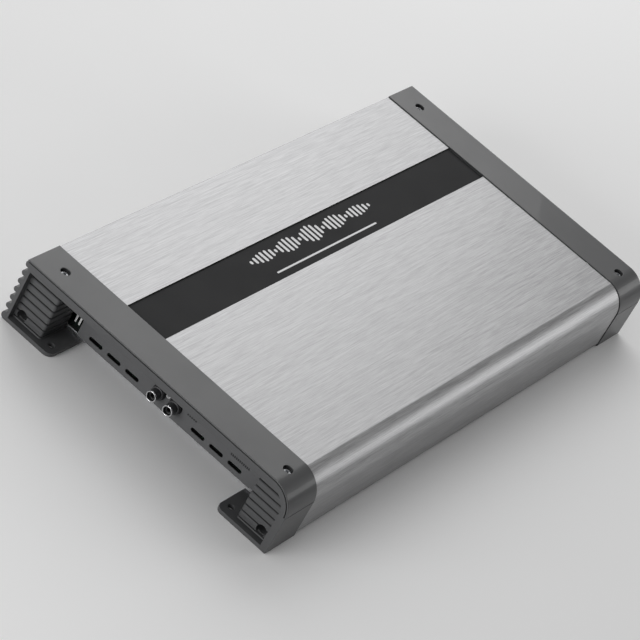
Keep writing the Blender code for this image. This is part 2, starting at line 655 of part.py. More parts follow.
def build_controls(end, finishes):
    """Three trimmer knobs and a filter switch in the upper row, with the board that carries them."""
    board = block((at(end, 43 * MM), at(end, 44.6 * MM)), (-76 * MM, 66 * MM), (28 * MM, 45 * MM))
    control_board = add_piece("control_board", board, finishes["board"])
    half = 5 * MM
    carrier_xs = (at(end, STEM_DEPTH + 0.5 * MM), at(end, 43.5 * MM))
    carriers = [
        block(carrier_xs, (y - half, y + half), (CONTROL_Z - half, CONTROL_Z + half))
        for y in (*KNOB_YS.values(), SWITCH_Y, LIGHT_Y)
    ]
    fuse(control_board, *carriers)

    stem, face, front = STEM_DEPTH, PANEL_DEPTH - GAP, 22.5 * MM
    profile = [(front, 0), (front, 3.8 * MM), (front + 0.6 * MM, 4.4 * MM), (face, 4.6 * MM)]
    profile += [(face, 3 * MM), (stem, 3 * MM), (stem, 0)]
    for name, y in KNOB_YS.items():
        place = (at(end, 0), y, CONTROL_Z)
        knob = add_piece(name, turned(profile, place, "X"), finishes["knob"], place, True)
        mark = block(
            (at(end, front - 1 * MM), at(end, front + 0.8 * MM)),
            (y - 0.5 * MM, y + 0.5 * MM),
            (CONTROL_Z + 0.5 * MM, CONTROL_Z + 5 * MM),
        )
        cut(knob, mark)

    half = 1.5 * MM
    slider = block(
        (at(end, 27 * MM), at(end, stem)),
        (SWITCH_Y - half, SWITCH_Y + half),
        (CONTROL_Z - half, CONTROL_Z + half),
    )
    add_piece("filter_switch", slider, finishes["knob"], (at(end, 30 * MM), SWITCH_Y, CONTROL_Z))
    lens = [(28.6 * MM, 0), (29 * MM, 1 * MM), (29.8 * MM, half), (stem, half), (stem, 0)]
    place = (at(end, 0), LIGHT_Y, CONTROL_Z)
    add_piece("status_light", turned(lens, place, "X", 12), finishes["lens"], place, True)


def build_terminal_block(name, ys, bore, screw_name, finishes):
    """A moulded block with a square wire entry per pole and a clamp screw down into each from the top."""
    end = 1
    margin = bore / 2 + 3 * MM
    span = (min(ys) - margin, max(ys) + margin)
    shape = block((at(end, TERMINAL_FRONT), at(end, 44 * MM)), span, (TERMINAL_LOW, TERMINAL_HIGH))
    moulding = add_piece(name, shape, finishes["black"])
    centre_z = TERMINAL_LOW + 2.4 * MM + bore / 2
    screw_radius = 2.4 * MM
    entries, wells = [], []
    for y in ys:
        entries.append(
            block(
                (at(end, TERMINAL_FRONT - 1 * MM), at(end, 30 * MM)),
                (y - bore / 2, y + bore / 2),
                (centre_z - bore / 2, centre_z + bore / 2),
            )
        )
        wells.append(
            rod(screw_radius + GAP, centre_z, TERMINAL_HIGH + 1 * MM, (at(end, CLAMP_DEPTH), y, 0))
        )
    cut(moulding, *entries)
    cut(moulding, *wells)
    top = TERMINAL_HIGH - 0.5 * MM
    low = centre_z + bore / 2 + 0.3 * MM
    profile = [(low, 0), (low, 1.8 * MM), (low + 0.8 * MM, screw_radius), (top, screw_radius)]
    profile += [(top, 1.2 * MM), (top - 1.6 * MM, 1.2 * MM), (top - 1.6 * MM, 0)]
    for number, y in enumerate(ys, 1):
        place = (at(end, CLAMP_DEPTH), y, 0)
        screw = turned(profile, place, segments=16)
        add_piece(f"{screw_name}_{number}", screw, finishes["brass"], place, smooth=True)


def build_fuses(finishes):
    """Two plug-in blade fuses side by side in one holder."""
    end = 1
    length, thickness, height = FUSE_BODY
    holder = block(
        (at(end, HOLDER_FRONT), at(end, 44 * MM)),
        (-HOLDER_HALF_WIDTH, HOLDER_HALF_WIDTH),
        (PART_BASE, FUSE_Z + height / 2 + 2 * MM),
    )
    holder = add_piece("fuse_holder", holder, finishes["black"])
    seat = FUSE_FRONT + length
    pockets, slits = [], []
    for y in FUSE_YS:
        half = thickness / 2 + 0.4 * MM
        tall = height / 2 + 0.4 * MM
        pockets.append(
            block(
                (at(end, HOLDER_FRONT - 1 * MM), at(end, seat + 0.4 * MM)),
                (y - half, y + half),
                (FUSE_Z - tall, FUSE_Z + tall),
            )
        )
        for rise in (-1, 1):
            middle = FUSE_Z + rise * 5.5 * MM
            slits.append(
                block(
                    (at(end, seat - 1 * MM), at(end, seat + 9.5 * MM)),
                    (y - 0.9 * MM, y + 0.9 * MM),
                    (middle - 3.1 * MM, middle + 3.1 * MM),
                )
            )
    cut(holder, *pockets)
    cut(holder, *slits)
    for name, y in zip(("fuse_right", "fuse_left"), FUSE_YS):
        body = block(
            (at(end, FUSE_FRONT), at(end, seat)),
            (y - thickness / 2, y + thickness / 2),
            (FUSE_Z - height / 2, FUSE_Z + height / 2),
        )
        fuse_piece = add_piece(name, body, finishes["fuse"], (at(end, seat), y, FUSE_Z))
        blades = [
            block(
                (at(end, seat - 1 * MM), at(end, seat + 9 * MM)),
                (y - 0.4 * MM, y + 0.4 * MM),
                (FUSE_Z + rise * 5.5 * MM - 2.6 * MM, FUSE_Z + rise * 5.5 * MM + 2.6 * MM),
            )
            for rise in (-1, 1)
        ]
        fuse(fuse_piece, *blades)


def build_output_end(finishes):
    end = 1
    panel = build_panel("output_panel", end, finishes)
    low, high = sorted(panel_span(end))
    room = 0.4 * MM

    def window(ys, margin, top):
        return block(
            (low, high),
            (min(ys) - margin - room, max(ys) + margin + room),
            (PART_BASE - room, top + room),
        )

    openings = [
        window(POWER_YS, POWER_BORE / 2 + 3 * MM, TERMINAL_HIGH),
        window(SPEAKER_YS, SPEAKER_BORE / 2 + 3 * MM, TERMINAL_HIGH),
        window((0,), HOLDER_HALF_WIDTH, FUSE_Z + FUSE_BODY[2] / 2 + 2 * MM),
    ]
    slots = [
        prism(stadium((side * y, VENT_Z), SLOT_LENGTH, SLOT_HEIGHT), "X", low, high)
        for side in (-1, 1)
        for y in SLOT_YS
    ]
    cut(panel, *openings, *slots)
    build_terminal_block("power_terminal_block", POWER_YS, POWER_BORE, "power_clamp_screw", finishes)
    build_terminal_block(
        "speaker_terminal_block", SPEAKER_YS, SPEAKER_BORE, "speaker_clamp_screw", finishes
    )
    build_fuses(finishes)


def build_internals(finishes):
    reach = BODY_END - 13 * MM
    board = block((-reach, reach), (-104 * MM, 104 * MM), (BOARD_LOW, BOARD_HIGH))
    add_piece("main_board", board, finishes["board"])

    for name, (x, y, ring, wire) in COILS.items():
        low, high = PART_BASE, PART_BASE + 2 * wire
        soft = wire * 0.4
        profile = [(low, ring - wire + soft), (low + soft, ring - wire), (high - soft, ring - wire)]
        profile += [(high, ring - wire + soft), (high, ring + wire - soft), (high - soft, ring + wire)]
        profile += [(low + soft, ring + wire), (low, ring + wire - soft)]
        coil = turned(profile, (x, y, 0), segments=24)
        add_piece(name, coil, finishes["copper"], smooth=True)

    top = PART_BASE + CAPACITOR_HEIGHT
    rim = 0.6 * MM
    profile = [(PART_BASE, 0), (PART_BASE, CAPACITOR_RADIUS), (top - rim, CAPACITOR_RADIUS)]
    profile += [(top, CAPACITOR_RADIUS - rim), (top, 0)]
    for number, y in enumerate(CAPACITOR_YS, 1):
        can = turned(profile, (CAPACITOR_X, y, 0))
        add_piece(f"reservoir_capacitor_{number}", can, finishes["sleeve"], smooth=True)

    for side, side_name, wall in ((1, "left", RIB_WALL_Y), (-1, "right", HALF_WIDTH - BODY_WALL)):
        near, far = side * (wall - 5.3 * MM), side * (wall - GAP)
        for number, x in enumerate(TRANSISTOR_XS, 1):
            package = block((x - 8 * MM, x + 8 * MM), (near, far), TRANSISTOR_ZS)
            add_piece(f"transistor_{side_name}_{number}", package, finishes["black"])
        bar_ys = (side * (wall - 8.6 * MM), side * (wall - 5.6 * MM))
        bar = block(CLAMP_BAR_XS, bar_ys, CLAMP_BAR_ZS)
        add_piece(f"clamp_bar_{side_name}", bar, finishes["steel"])


def main():
    finishes = {
        "aluminium": finish("brushed aluminium", (0.62, 0.62, 0.63), 1.0, 0.35),
        "casting": finish("satin graphite paint", (0.13, 0.13, 0.135), 0.4, 0.45),
        "cover": finish("satin graphite cover", (0.14, 0.14, 0.145), 0.4, 0.42),
        "panel": finish("graphite panel paint", (0.09, 0.09, 0.092), 0.2, 0.5),
        "stripe": finish("matt black inlay", (0.03, 0.03, 0.032), 0.0, 0.55),
        "print": finish("silver print", (0.75, 0.75, 0.76), 0.2, 0.5),
        "steel": finish("zinc plated steel", (0.4, 0.4, 0.42), 1.0, 0.4),
        "screw": finish("bright steel screw", (0.7, 0.7, 0.72), 1.0, 0.25),
        "chrome": finish("nickel plating", (0.75, 0.75, 0.76), 1.0, 0.15),
        "brass": finish("plated brass", (0.8, 0.68, 0.4), 1.0, 0.3),
        "black": finish("black moulding", (0.02, 0.02, 0.02), 0.0, 0.4),
        "knob": finish("black knob plastic", (0.03, 0.03, 0.03), 0.0, 0.5),
        "lens": finish("blue lens", (0.1, 0.25, 0.8), 0.0, 0.2),
        "fuse": finish("amber fuse plastic", (0.8, 0.35, 0.03), 0.0, 0.3),
        "board": finish("green board", (0.02, 0.14, 0.06), 0.0, 0.4),
        "copper": finish("enamelled copper", (0.6, 0.25, 0.1), 0.8, 0.35),
        "sleeve": finish("capacitor sleeve", (0.03, 0.05, 0.12), 0.0, 0.35),
    }
    build_body(finishes)
    build_stripe(finishes)
    build_bottom(finishes)
    for end, name in ((-1, "input"), (1, "output")):
        build_end_frame(f"{name}_end_frame", end, finishes)
        build_end_cover(f"{name}_end_cover", end, finishes)
    build_frame_screws(finishes)
    build_input_end(finishes)
    build_output_end(finishes)
    build_internals(finishes)


clear_scene()
ASSEMBLY = bpy.data.objects.new("amplifier", None)
bpy.context.scene.collection.objects.link(ASSEMBLY)
main()
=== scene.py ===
"""The looks of a car amplifier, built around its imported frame.

Metres, +Z up. +X runs from the signal end to the power end and +Y towards the ribbed side. Each piece
is modelled in place, so every object sits at the origin.
"""

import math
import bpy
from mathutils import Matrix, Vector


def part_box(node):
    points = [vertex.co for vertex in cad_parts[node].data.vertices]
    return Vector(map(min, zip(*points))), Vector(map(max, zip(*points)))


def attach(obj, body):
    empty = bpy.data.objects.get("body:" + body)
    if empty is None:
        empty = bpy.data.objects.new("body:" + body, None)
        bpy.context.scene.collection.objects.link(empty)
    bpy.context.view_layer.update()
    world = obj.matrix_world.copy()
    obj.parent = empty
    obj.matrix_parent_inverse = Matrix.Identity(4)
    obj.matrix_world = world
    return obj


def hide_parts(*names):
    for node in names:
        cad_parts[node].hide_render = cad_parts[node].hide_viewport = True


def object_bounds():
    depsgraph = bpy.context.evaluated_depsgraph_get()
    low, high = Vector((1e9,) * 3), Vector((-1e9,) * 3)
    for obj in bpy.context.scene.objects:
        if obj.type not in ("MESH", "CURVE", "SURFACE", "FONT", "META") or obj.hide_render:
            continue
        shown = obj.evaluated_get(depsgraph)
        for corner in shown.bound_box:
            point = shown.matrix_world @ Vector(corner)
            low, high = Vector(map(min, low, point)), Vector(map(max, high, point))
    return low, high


bl_info = {
    "name": "Car Amplifier",
    "version": (1, 0, 0),
    "blender": (4, 5, 0),
    "location": "View3D > Sidebar > Amplifier",
    "description": "Builds the finished pieces of a car amplifier and a small studio for it",
    "category": "Add Mesh",
}

import bmesh
import bpy
from bpy.props import FloatProperty, FloatVectorProperty, IntProperty, PointerProperty
from mathutils import Matrix, Vector

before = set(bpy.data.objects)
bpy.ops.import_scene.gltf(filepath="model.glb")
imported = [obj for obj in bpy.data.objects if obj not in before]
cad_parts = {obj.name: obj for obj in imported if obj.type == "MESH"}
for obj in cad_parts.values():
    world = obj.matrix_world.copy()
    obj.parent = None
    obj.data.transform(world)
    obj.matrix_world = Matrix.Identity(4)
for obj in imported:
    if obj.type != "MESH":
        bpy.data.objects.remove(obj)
CAD_BOX = [list(corner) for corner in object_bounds()]

MM = 0.001

# The frame's own measures
LOW, HIGH = (Vector(corner) for corner in CAD_BOX)
BODY_LOW, BODY_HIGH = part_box("heatsink_body")
INLAY_LOW, INLAY_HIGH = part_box("stripe_inlay")
COVER_LOW, COVER_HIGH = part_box("input_end_cover")
PANEL_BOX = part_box("input_panel")
HALF_LENGTH, HALF_WIDTH, HEIGHT = HIGH.x, HIGH.y, HIGH.z
FRAME_DEPTH = HALF_LENGTH + COVER_HIGH.x

# Sizes that the pieces share
GAP = 0.3 * MM
END_RADIUS = 20 * MM
COVER_THICKNESS = 1.2 * MM
COVER_LIP_Z = COVER_LOW.z
BAND_LOW = 45 * MM
BAND_THICKNESS = 4.5 * MM
RIB_COUNT = 7
RIB_PITCH = 7.42 * MM
RIB_FIRST = 4.4 * MM
RIB_RADIUS = 2.2 * MM
RIB_DEPTH = 3.2 * MM
RIB_SWEEP = math.radians(105)
FOOT_INNER_Y = 77 * MM
FOOT_THICKNESS = 3.3 * MM
FOOT_CORNER = 6 * MM
TOWER_INNER_Y = 91.2 * MM
TOWER_RECESS = 5.5 * MM
TOWER_CORNER = 1.8 * MM
POCKET_OUTER_Y = 117.1 * MM
GROOVE_COUNT = 7
GROOVE_FIRST = 4.7 * MM
GROOVE_PITCH = 5.85 * MM
PORT_RADIUS = 1.9 * MM
PORT_Y = 110.8 * MM
PORT_Z = 8.5 * MM
END_BORE_RADIUS = 4.2 * MM
END_BORE_DEPTH = 24 * MM
FIXING_HOLE = (9.5 * MM, 83.7 * MM, 2.5 * MM)
COVER_SCREW_DEPTH = 16.7 * MM
COVER_SCREW_Y = 102 * MM
COVER_HOLE_RADIUS = 3.65 * MM
COVER_SEAT_Z = 47.2 * MM
CONTROL_Z = 36 * MM
EAR_HIGH = 44.4 * MM
SLOT_YS = (30.6 * MM, 47.6 * MM, 64.6 * MM)
SLOT_LENGTH = 12.4 * MM
SLOT_HEIGHT = 3.2 * MM


class AmplifierSizes(bpy.types.PropertyGroup):
    """Sizes of the surface detail"""

    edge: FloatProperty(
        name="Edge Rounding",
        description="Width of the small rounding on every machined edge",
        default=0.22 * MM,
        min=0.02 * MM,
        max=0.5 * MM,
        unit="LENGTH",
        subtype="DISTANCE",
    )
    groove: FloatProperty(
        name="Groove Height",
        description="Height of the grooves between a tower's ribs",
        default=1.5 * MM,
        min=0.4 * MM,
        max=2 * MM,
        unit="LENGTH",
        subtype="DISTANCE",
    )
    groove_depth: FloatProperty(
        name="Groove Depth",
        description="Depth of the grooves between a tower's ribs",
        default=3.3 * MM,
        min=1 * MM,
        max=3.4 * MM,
        unit="LENGTH",
        subtype="DISTANCE",
    )
    chamfer: FloatProperty(
        name="Rib Chamfer",
        description="Chamfer along the upper edge of each tower rib",
        default=0.55 * MM,
        min=0.1 * MM,
        max=0.8 * MM,
        unit="LENGTH",
        subtype="DISTANCE",
    )
    bars: IntProperty(
        name="Bars",
        description="Number of printed bars on the inlay",
        default=31,
        min=5,
        max=61,
    )
    flutes: IntProperty(
        name="Knob Flutes",
        description="Number of flutes round each knob",
        default=30,
        min=8,
        max=60,
    )


def colour_property(name, description, value):
    return FloatVectorProperty(
        name=name, description=description, default=value, min=0, max=1, size=3, subtype="COLOR"
    )


class AmplifierColours(bpy.types.PropertyGroup):
    """Colours of the finishes"""

    aluminium: colour_property("Aluminium", "Brushed and anodised body", (0.37, 0.37, 0.375))
    graphite: colour_property("Graphite", "Paint on the end frames and covers", (0.062, 0.063, 0.065))
    panel: colour_property("Panel", "Powder coat on the end panels", (0.09, 0.091, 0.094))
    inlay: colour_property("Inlay", "Matt black inlay", (0.021, 0.021, 0.022))
    ink: colour_property("Print", "Silver print on the inlay", (0.78, 0.78, 0.79))
    steel: colour_property("Steel", "Plated steel", (0.55, 0.56, 0.58))
    nickel: colour_property("Nickel", "Nickel plating", (0.86, 0.86, 0.85))
    gunmetal: colour_property("Gunmetal", "Dark plating on the sockets' barrels", (0.08, 0.08, 0.083))
    brass: colour_property("Brass", "Gold plated brass", (0.82, 0.66, 0.36))
    moulding: colour_property("Moulding", "Black moulded plastic", (0.009, 0.009, 0.0095))
    fuse: colour_property("Fuse", "Tinted fuse plastic", (0.85, 0.33, 0.03))
    lens: colour_property("Lens", "Tinted lamp lens", (0.06, 0.2, 0.85))
    floor: colour_property("Floor", "Studio floor", (0.94, 0.94, 0.94))


class AmplifierStudio(bpy.types.PropertyGroup):
    """Camera and light"""

    lens: FloatProperty(name="Lens", description="Focal length in millimetres", default=181.3, min=20)
    distance: FloatProperty(
        name="Distance",
        description="From the camera to the point it looks at",
        default=2.2679,
        min=0.3,
        unit="LENGTH",
        subtype="DISTANCE",
    )
    heading: FloatProperty(
        name="Heading",
        description="Direction in which the camera looks, from +X towards +Y",
        default=math.radians(19.308),
        unit="ROTATION",
        subtype="ANGLE",
    )
    elevation: FloatProperty(
        name="Elevation",
        description="How far the camera looks down",
        default=math.radians(34.198),
        unit="ROTATION",
        subtype="ANGLE",
    )
    roll: FloatProperty(
        name="Roll",
        description="Turn of the camera about its own line of sight",
        default=math.radians(29.788),
        unit="ROTATION",
        subtype="ANGLE",
    )
    aim: FloatVectorProperty(
        name="Aim",
        description="Point that the camera looks at",
        default=(-0.03894, -0.00547, 0.026),
        size=3,
        unit="LENGTH",
        subtype="TRANSLATION",
    )
    overhead: FloatProperty(name="Overhead", description="Power of the overhead softbox", default=11.5, min=0)
    strip: FloatProperty(name="Strip", description="Power of the strip light", default=6, min=0)
    fill: FloatProperty(name="Fill", description="Power of the low light in front", default=16, min=0)
    sky: FloatProperty(name="Sky", description="Brightness of the room's light side", default=0.5, min=0)
    shade: FloatProperty(name="Shade", description="Brightness of the room's dark side", default=0.05, min=0)
    window: FloatVectorProperty(
        name="Window", description="Direction of the room's light side", default=(0.2, 0.75, 0.6), size=3
    )


# Outlines and shapes: a shape is a closed bmesh in the amplifier's own coordinates


def arc(centre, radius, start, end, steps):
    """Points of a circular arc, with its angles in radians."""
    angles = [start + (end - start) * step / steps for step in range(steps + 1)]
    return [(centre[0] + radius * math.cos(a), centre[1] + radius * math.sin(a)) for a in angles]


def stadium(centre, length, height, steps=14):
    """A slot outline with round ends, long in the first coordinate."""
    radius = height / 2
    reach = length / 2 - radius
    right = arc((centre[0] + reach, centre[1]), radius, -math.pi / 2, math.pi / 2, steps)
    left = arc((centre[0] - reach, centre[1]), radius, math.pi / 2, 3 * math.pi / 2, steps)
    return right + left


def polygon(centre, radius, sides, start=0.0):
    return arc(centre, radius, start, start + math.tau, sides)[:-1]


def prism(outline, axis, low, high):
    """Extrude a closed outline along axis; its points are the other two coordinates in X, Y, Z order."""
    place = {
        "X": lambda a, b: (low, a, b),
        "Y": lambda a, b: (a, low, b),
        "Z": lambda a, b: (a, b, low),
    }[axis]
    shape = bmesh.new()
    face = shape.faces.new([shape.verts.new(place(a, b)) for a, b in outline])
    raised = bmesh.ops.extrude_face_region(shape, geom=[face])["geom"]
    travel = Vector([high - low if axis == name else 0 for name in "XYZ"])
    bmesh.ops.translate(shape, verts=[v for v in raised if isinstance(v, bmesh.types.BMVert)], vec=travel)
    bmesh.ops.recalc_face_normals(shape, faces=shape.faces)
    return shape


def loft(rings):
    """A closed solid through rings of equally many points, from the first ring to the last."""
    shape = bmesh.new()
    loops = []
    for ring in rings:
        verts = [shape.verts.new(point) for point in ring]
        loops.append([shape.edges.new(pair) for pair in zip(verts, verts[1:] + verts[:1])])
    for lower, upper in zip(loops, loops[1:]):
        bmesh.ops.bridge_loops(shape, edges=lower + upper)
    bmesh.ops.edgenet_fill(shape, edges=loops[0])
    bmesh.ops.edgenet_fill(shape, edges=loops[-1])
    bmesh.ops.recalc_face_normals(shape, faces=shape.faces)
    return shape


def block(xs, ys, zs):
    """A box between two values on each axis, given in either order."""
    size = [abs(b - a) for a, b in (xs, ys, zs)]
    middle = [(a + b) / 2 for a, b in (xs, ys, zs)]
    shape = bmesh.new()
    bmesh.ops.create_cube(shape, size=1, matrix=Matrix.Translation(middle) @ Matrix.Diagonal((*size, 1)))
    return shape


def turned(profile, centre=(0, 0, 0), axis="Z", steps=48):
    """Spin a profile of (distance along the axis, radius) points about axis."""
    shape = bmesh.new()
    verts = [shape.verts.new((radius, 0, along)) for along, radius in profile]
    pairs = list(zip(verts, verts[1:]))
    if profile[0][1] > 0:
        pairs.append((verts[-1], verts[0]))
    edges = [shape.edges.new(pair) for pair in pairs]
    bmesh.ops.spin(
        shape, geom=verts + edges, axis=(0, 0, 1), angle=math.tau, steps=steps, use_merge=True
    )
    bmesh.ops.remove_doubles(shape, verts=shape.verts, dist=0.001 * MM)
    turn = {
        "Z": Matrix.Identity(4),
        "X": Matrix.Rotation(math.radians(90), 4, "Y"),
        "-X": Matrix.Rotation(math.radians(-90), 4, "Y"),
    }[axis]
    bmesh.ops.transform(shape, matrix=Matrix.Translation(centre) @ turn, verts=shape.verts)
    bmesh.ops.recalc_face_normals(shape, faces=shape.faces)
    return shape


def rod(radius, low, high, centre=(0, 0, 0), axis="Z", steps=40):
    return turned([(low, 0), (low, radius), (high, radius), (high, 0)], centre, axis, steps)


def joined(*shapes):
    """Several shapes in one."""
    whole = bmesh.new()
    for shape in shapes:
        mesh = bpy.data.meshes.new("joined")
        shape.to_mesh(mesh)
        whole.from_mesh(mesh)
        bpy.data.meshes.remove(mesh)
        shape.free()
    return whole


def copied(shape, matrix):
    """A copy of shape, moved by matrix; a mirrored copy keeps its faces outwards."""
    twin = shape.copy()
    bmesh.ops.transform(twin, matrix=matrix, verts=twin.verts)
    if matrix.determinant() < 0:
        bmesh.ops.reverse_faces(twin, faces=twin.faces)
    return twin


def combined(shape, tool, operation="DIFFERENCE"):
    """The Boolean of two shapes as a new shape, with its flat faces whole again."""
    things = []
    for name, source in (("work", shape), ("tool", tool)):
        mesh = bpy.data.meshes.new(name)
        source.to_mesh(mesh)
        source.free()
        things.append(bpy.data.objects.new(name, mesh))
        bpy.context.scene.collection.objects.link(things[-1])
    work, cutter = things
    modifier = work.modifiers.new("Boolean", "BOOLEAN")
    modifier.operation = operation
    modifier.solver = "EXACT"
    modifier.object = cutter
    bpy.context.view_layer.update()
    result = bmesh.new()
    result.from_object(work, bpy.context.evaluated_depsgraph_get())
    for thing in things:
        mesh = thing.data
        bpy.data.objects.remove(thing)
        bpy.data.meshes.remove(mesh)
    bmesh.ops.remove_doubles(result, verts=result.verts, dist=0.002 * MM)
    bmesh.ops.dissolve_limit(
        result, angle_limit=math.radians(0.3), verts=result.verts, edges=result.edges
    )
    return result


def cut(shape, *tools):
    return combined(shape, joined(*tools))


def soften(shape, width, segments=2, least=35, where=None):
    """Round the edges that turn by more than least degrees, or those of them that where picks."""
    sharp = [
        edge
        for edge in shape.edges
        if len(edge.link_faces) == 2
        and edge.calc_face_angle(0) > math.radians(least)
        and (where is None or where(edge))
    ]
    bmesh.ops.bevel(
        shape,
        geom=sharp,
        offset=width,
        offset_type="OFFSET",
        segments=segments,
        profile=0.5,
        affect="EDGES",
        clamp_overlap=False,
        material=-1,
    )
    return shape


def add_piece(name, shape, material, nodes=(), body="amplifier"):
    """Make an object of a shape, riding on a body, in place of the frame's own nodes."""
    mesh = bpy.data.meshes.new(name)
    shape.to_mesh(mesh)
    shape.free()
    mesh.shade_smooth()
    mesh.set_sharp_from_angle(angle=math.radians(38))
    mesh.materials.append(material)
    piece = bpy.data.objects.new(name, mesh)
    bpy.context.scene.collection.objects.link(piece)
    piece.modifiers.new("Flat Faces", "WEIGHTED_NORMAL").keep_sharp = True
    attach(piece, body)
    if nodes:
        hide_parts(*nodes)
    return piece


def at(end, depth):
    """X of a plane that lies depth inside the outer face of one end; end is -1 or 1."""
    return end * (HALF_LENGTH - depth)


# Finishes


class Finish:
    """A Principled material whose surface varies with the piece's own coordinates."""

    def __init__(self, name, colour, metallic, roughness, **sockets):
        self.material = bpy.data.materials.new(name)
        self.material.use_nodes = True
        self.tree = self.material.node_tree
        self.shader = self.tree.nodes["Principled BSDF"]
        self.colour = Vector(colour)
        self.roughness = roughness
        self.shader.inputs["Base Color"].default_value = (*colour, 1)
        self.shader.inputs["Metallic"].default_value = metallic
        self.shader.inputs["Roughness"].default_value = roughness
        for socket, value in sockets.items():
            self.shader.inputs[socket.replace("_", " ").title().replace("Ior", "IOR")].default_value = value
        self.place = self.tree.nodes.new("ShaderNodeTexCoord").outputs["Object"]

    def link(self, output, socket):
        self.tree.links.new(output, socket)

    def noise(self, scale, detail=4, roughness=0.6):
        """Noise whose features repeat scale times a metre along X, Y and Z."""
        mapping = self.tree.nodes.new("ShaderNodeMapping")
        mapping.inputs["Scale"].default_value = scale if hasattr(scale, "__len__") else (scale,) * 3
        noise = self.tree.nodes.new("ShaderNodeTexNoise")
        noise.inputs["Scale"].default_value = 1
        noise.inputs["Detail"].default_value = detail
        noise.inputs["Roughness"].default_value = roughness
        self.link(self.place, mapping.inputs["Vector"])
        self.link(mapping.outputs["Vector"], noise.inputs["Vector"])
        return noise.outputs["Fac"]

    def mixed(self, first, second, share):
        """Two patterns in one, with that share of the second."""
        mix = self.tree.nodes.new("ShaderNodeMix")
        mix.inputs["Factor"].default_value = share
        self.link(first, mix.inputs["A"])
        self.link(second, mix.inputs["B"])
        return mix.outputs["Result"]

    def tint(self, pattern, spread, low=0.3, high=0.7):
        """Vary the colour by plus and minus spread."""
        ramp = self.tree.nodes.new("ShaderNodeValToRGB")
        ramp.color_ramp.elements[0].position = low
        ramp.color_ramp.elements[0].color = (*(self.colour * (1 - spread)), 1)
        ramp.color_ramp.elements[1].position = high
        ramp.color_ramp.elements[1].color = (*(min(1, c * (1 + spread)) for c in self.colour), 1)
        self.link(pattern, ramp.inputs["Fac"])
        self.link(ramp.outputs["Color"], self.shader.inputs["Base Color"])

    def gloss(self, pattern, spread):
        """Vary the roughness by plus and minus spread."""
        span = self.tree.nodes.new("ShaderNodeMapRange")
        span.inputs["From Min"].default_value = 0.3
        span.inputs["From Max"].default_value = 0.7
        span.inputs["To Min"].default_value = self.roughness - spread
        span.inputs["To Max"].default_value = self.roughness + spread
        self.link(pattern, span.inputs["Value"])
        self.link(span.outputs["Result"], self.shader.inputs["Roughness"])

    def relief(self, pattern, height, strength=1.0):
        """Raise and lower the surface by height."""
        bump = self.tree.nodes.new("ShaderNodeBump")
        bump.inputs["Strength"].default_value = strength
        bump.inputs["Distance"].default_value = height
        self.link(pattern, bump.inputs["Height"])
        self.link(bump.outputs["Normal"], self.shader.inputs["Normal"])


def brushed(name, colour, roughness=0.42):
    """Metal with fine scratches along X, some short and some long."""
    finish = Finish(name, colour, 1.0, roughness)
    short = finish.noise((45, 1900, 1900), 3, 0.7)
    long = finish.noise((26, 1150, 1150), 4, 0.75)
    streaks = finish.mixed(short, long, 0.45)
    finish.tint(streaks, 0.22, 0.4, 0.6)
    finish.gloss(streaks, 0.08)
    finish.relief(finish.noise((45, 2600, 2600), 2), 0.012 * MM, 0.5)
    return finish.material


def painted(name, colour, roughness, grain, height, spread=0.05, **sockets):
    """Sprayed or powder paint with a fine orange peel."""
    finish = Finish(name, colour, 0.0, roughness, **sockets)
    cloud = finish.noise(28, 4)
    peel = finish.noise(grain, 3)
    finish.tint(finish.mixed(cloud, peel, 0.5), spread)
    finish.gloss(cloud, 0.04)
    finish.relief(peel, height, 0.6)
    return finish.material


def plated(name, colour, roughness, metallic=1.0):
    """Turned and plated metal with faint tool marks."""
    finish = Finish(name, colour, metallic, roughness)
    marks = finish.noise(1800, 3)
    finish.tint(finish.noise(220, 4), 0.07)
    finish.gloss(marks, 0.06)
    finish.relief(marks, 0.006 * MM, 0.4)
    return finish.material


def moulded(name, colour, roughness, **sockets):
    """Moulded plastic with a light spark-eroded grain."""
    finish = Finish(name, colour, 0.0, roughness, **sockets)
    grain = finish.noise(2400, 2)
    finish.tint(finish.noise(60, 4), 0.12)
    finish.gloss(grain, 0.05)
    finish.relief(grain, 0.02 * MM, 0.5)
    return finish.material


def solder_mask(name, colour):
    """A circuit board: green mask over paler copper tracks."""
    finish = Finish(name, colour, 0.0, 0.35, coat_weight=0.4)
    tracks = finish.noise((260, 90, 90), 1)
    finish.tint(tracks, 0.45, 0.47, 0.5)
    finish.gloss(tracks, 0.06)
    finish.relief(tracks, 0.03 * MM, 0.5)
    return finish.material


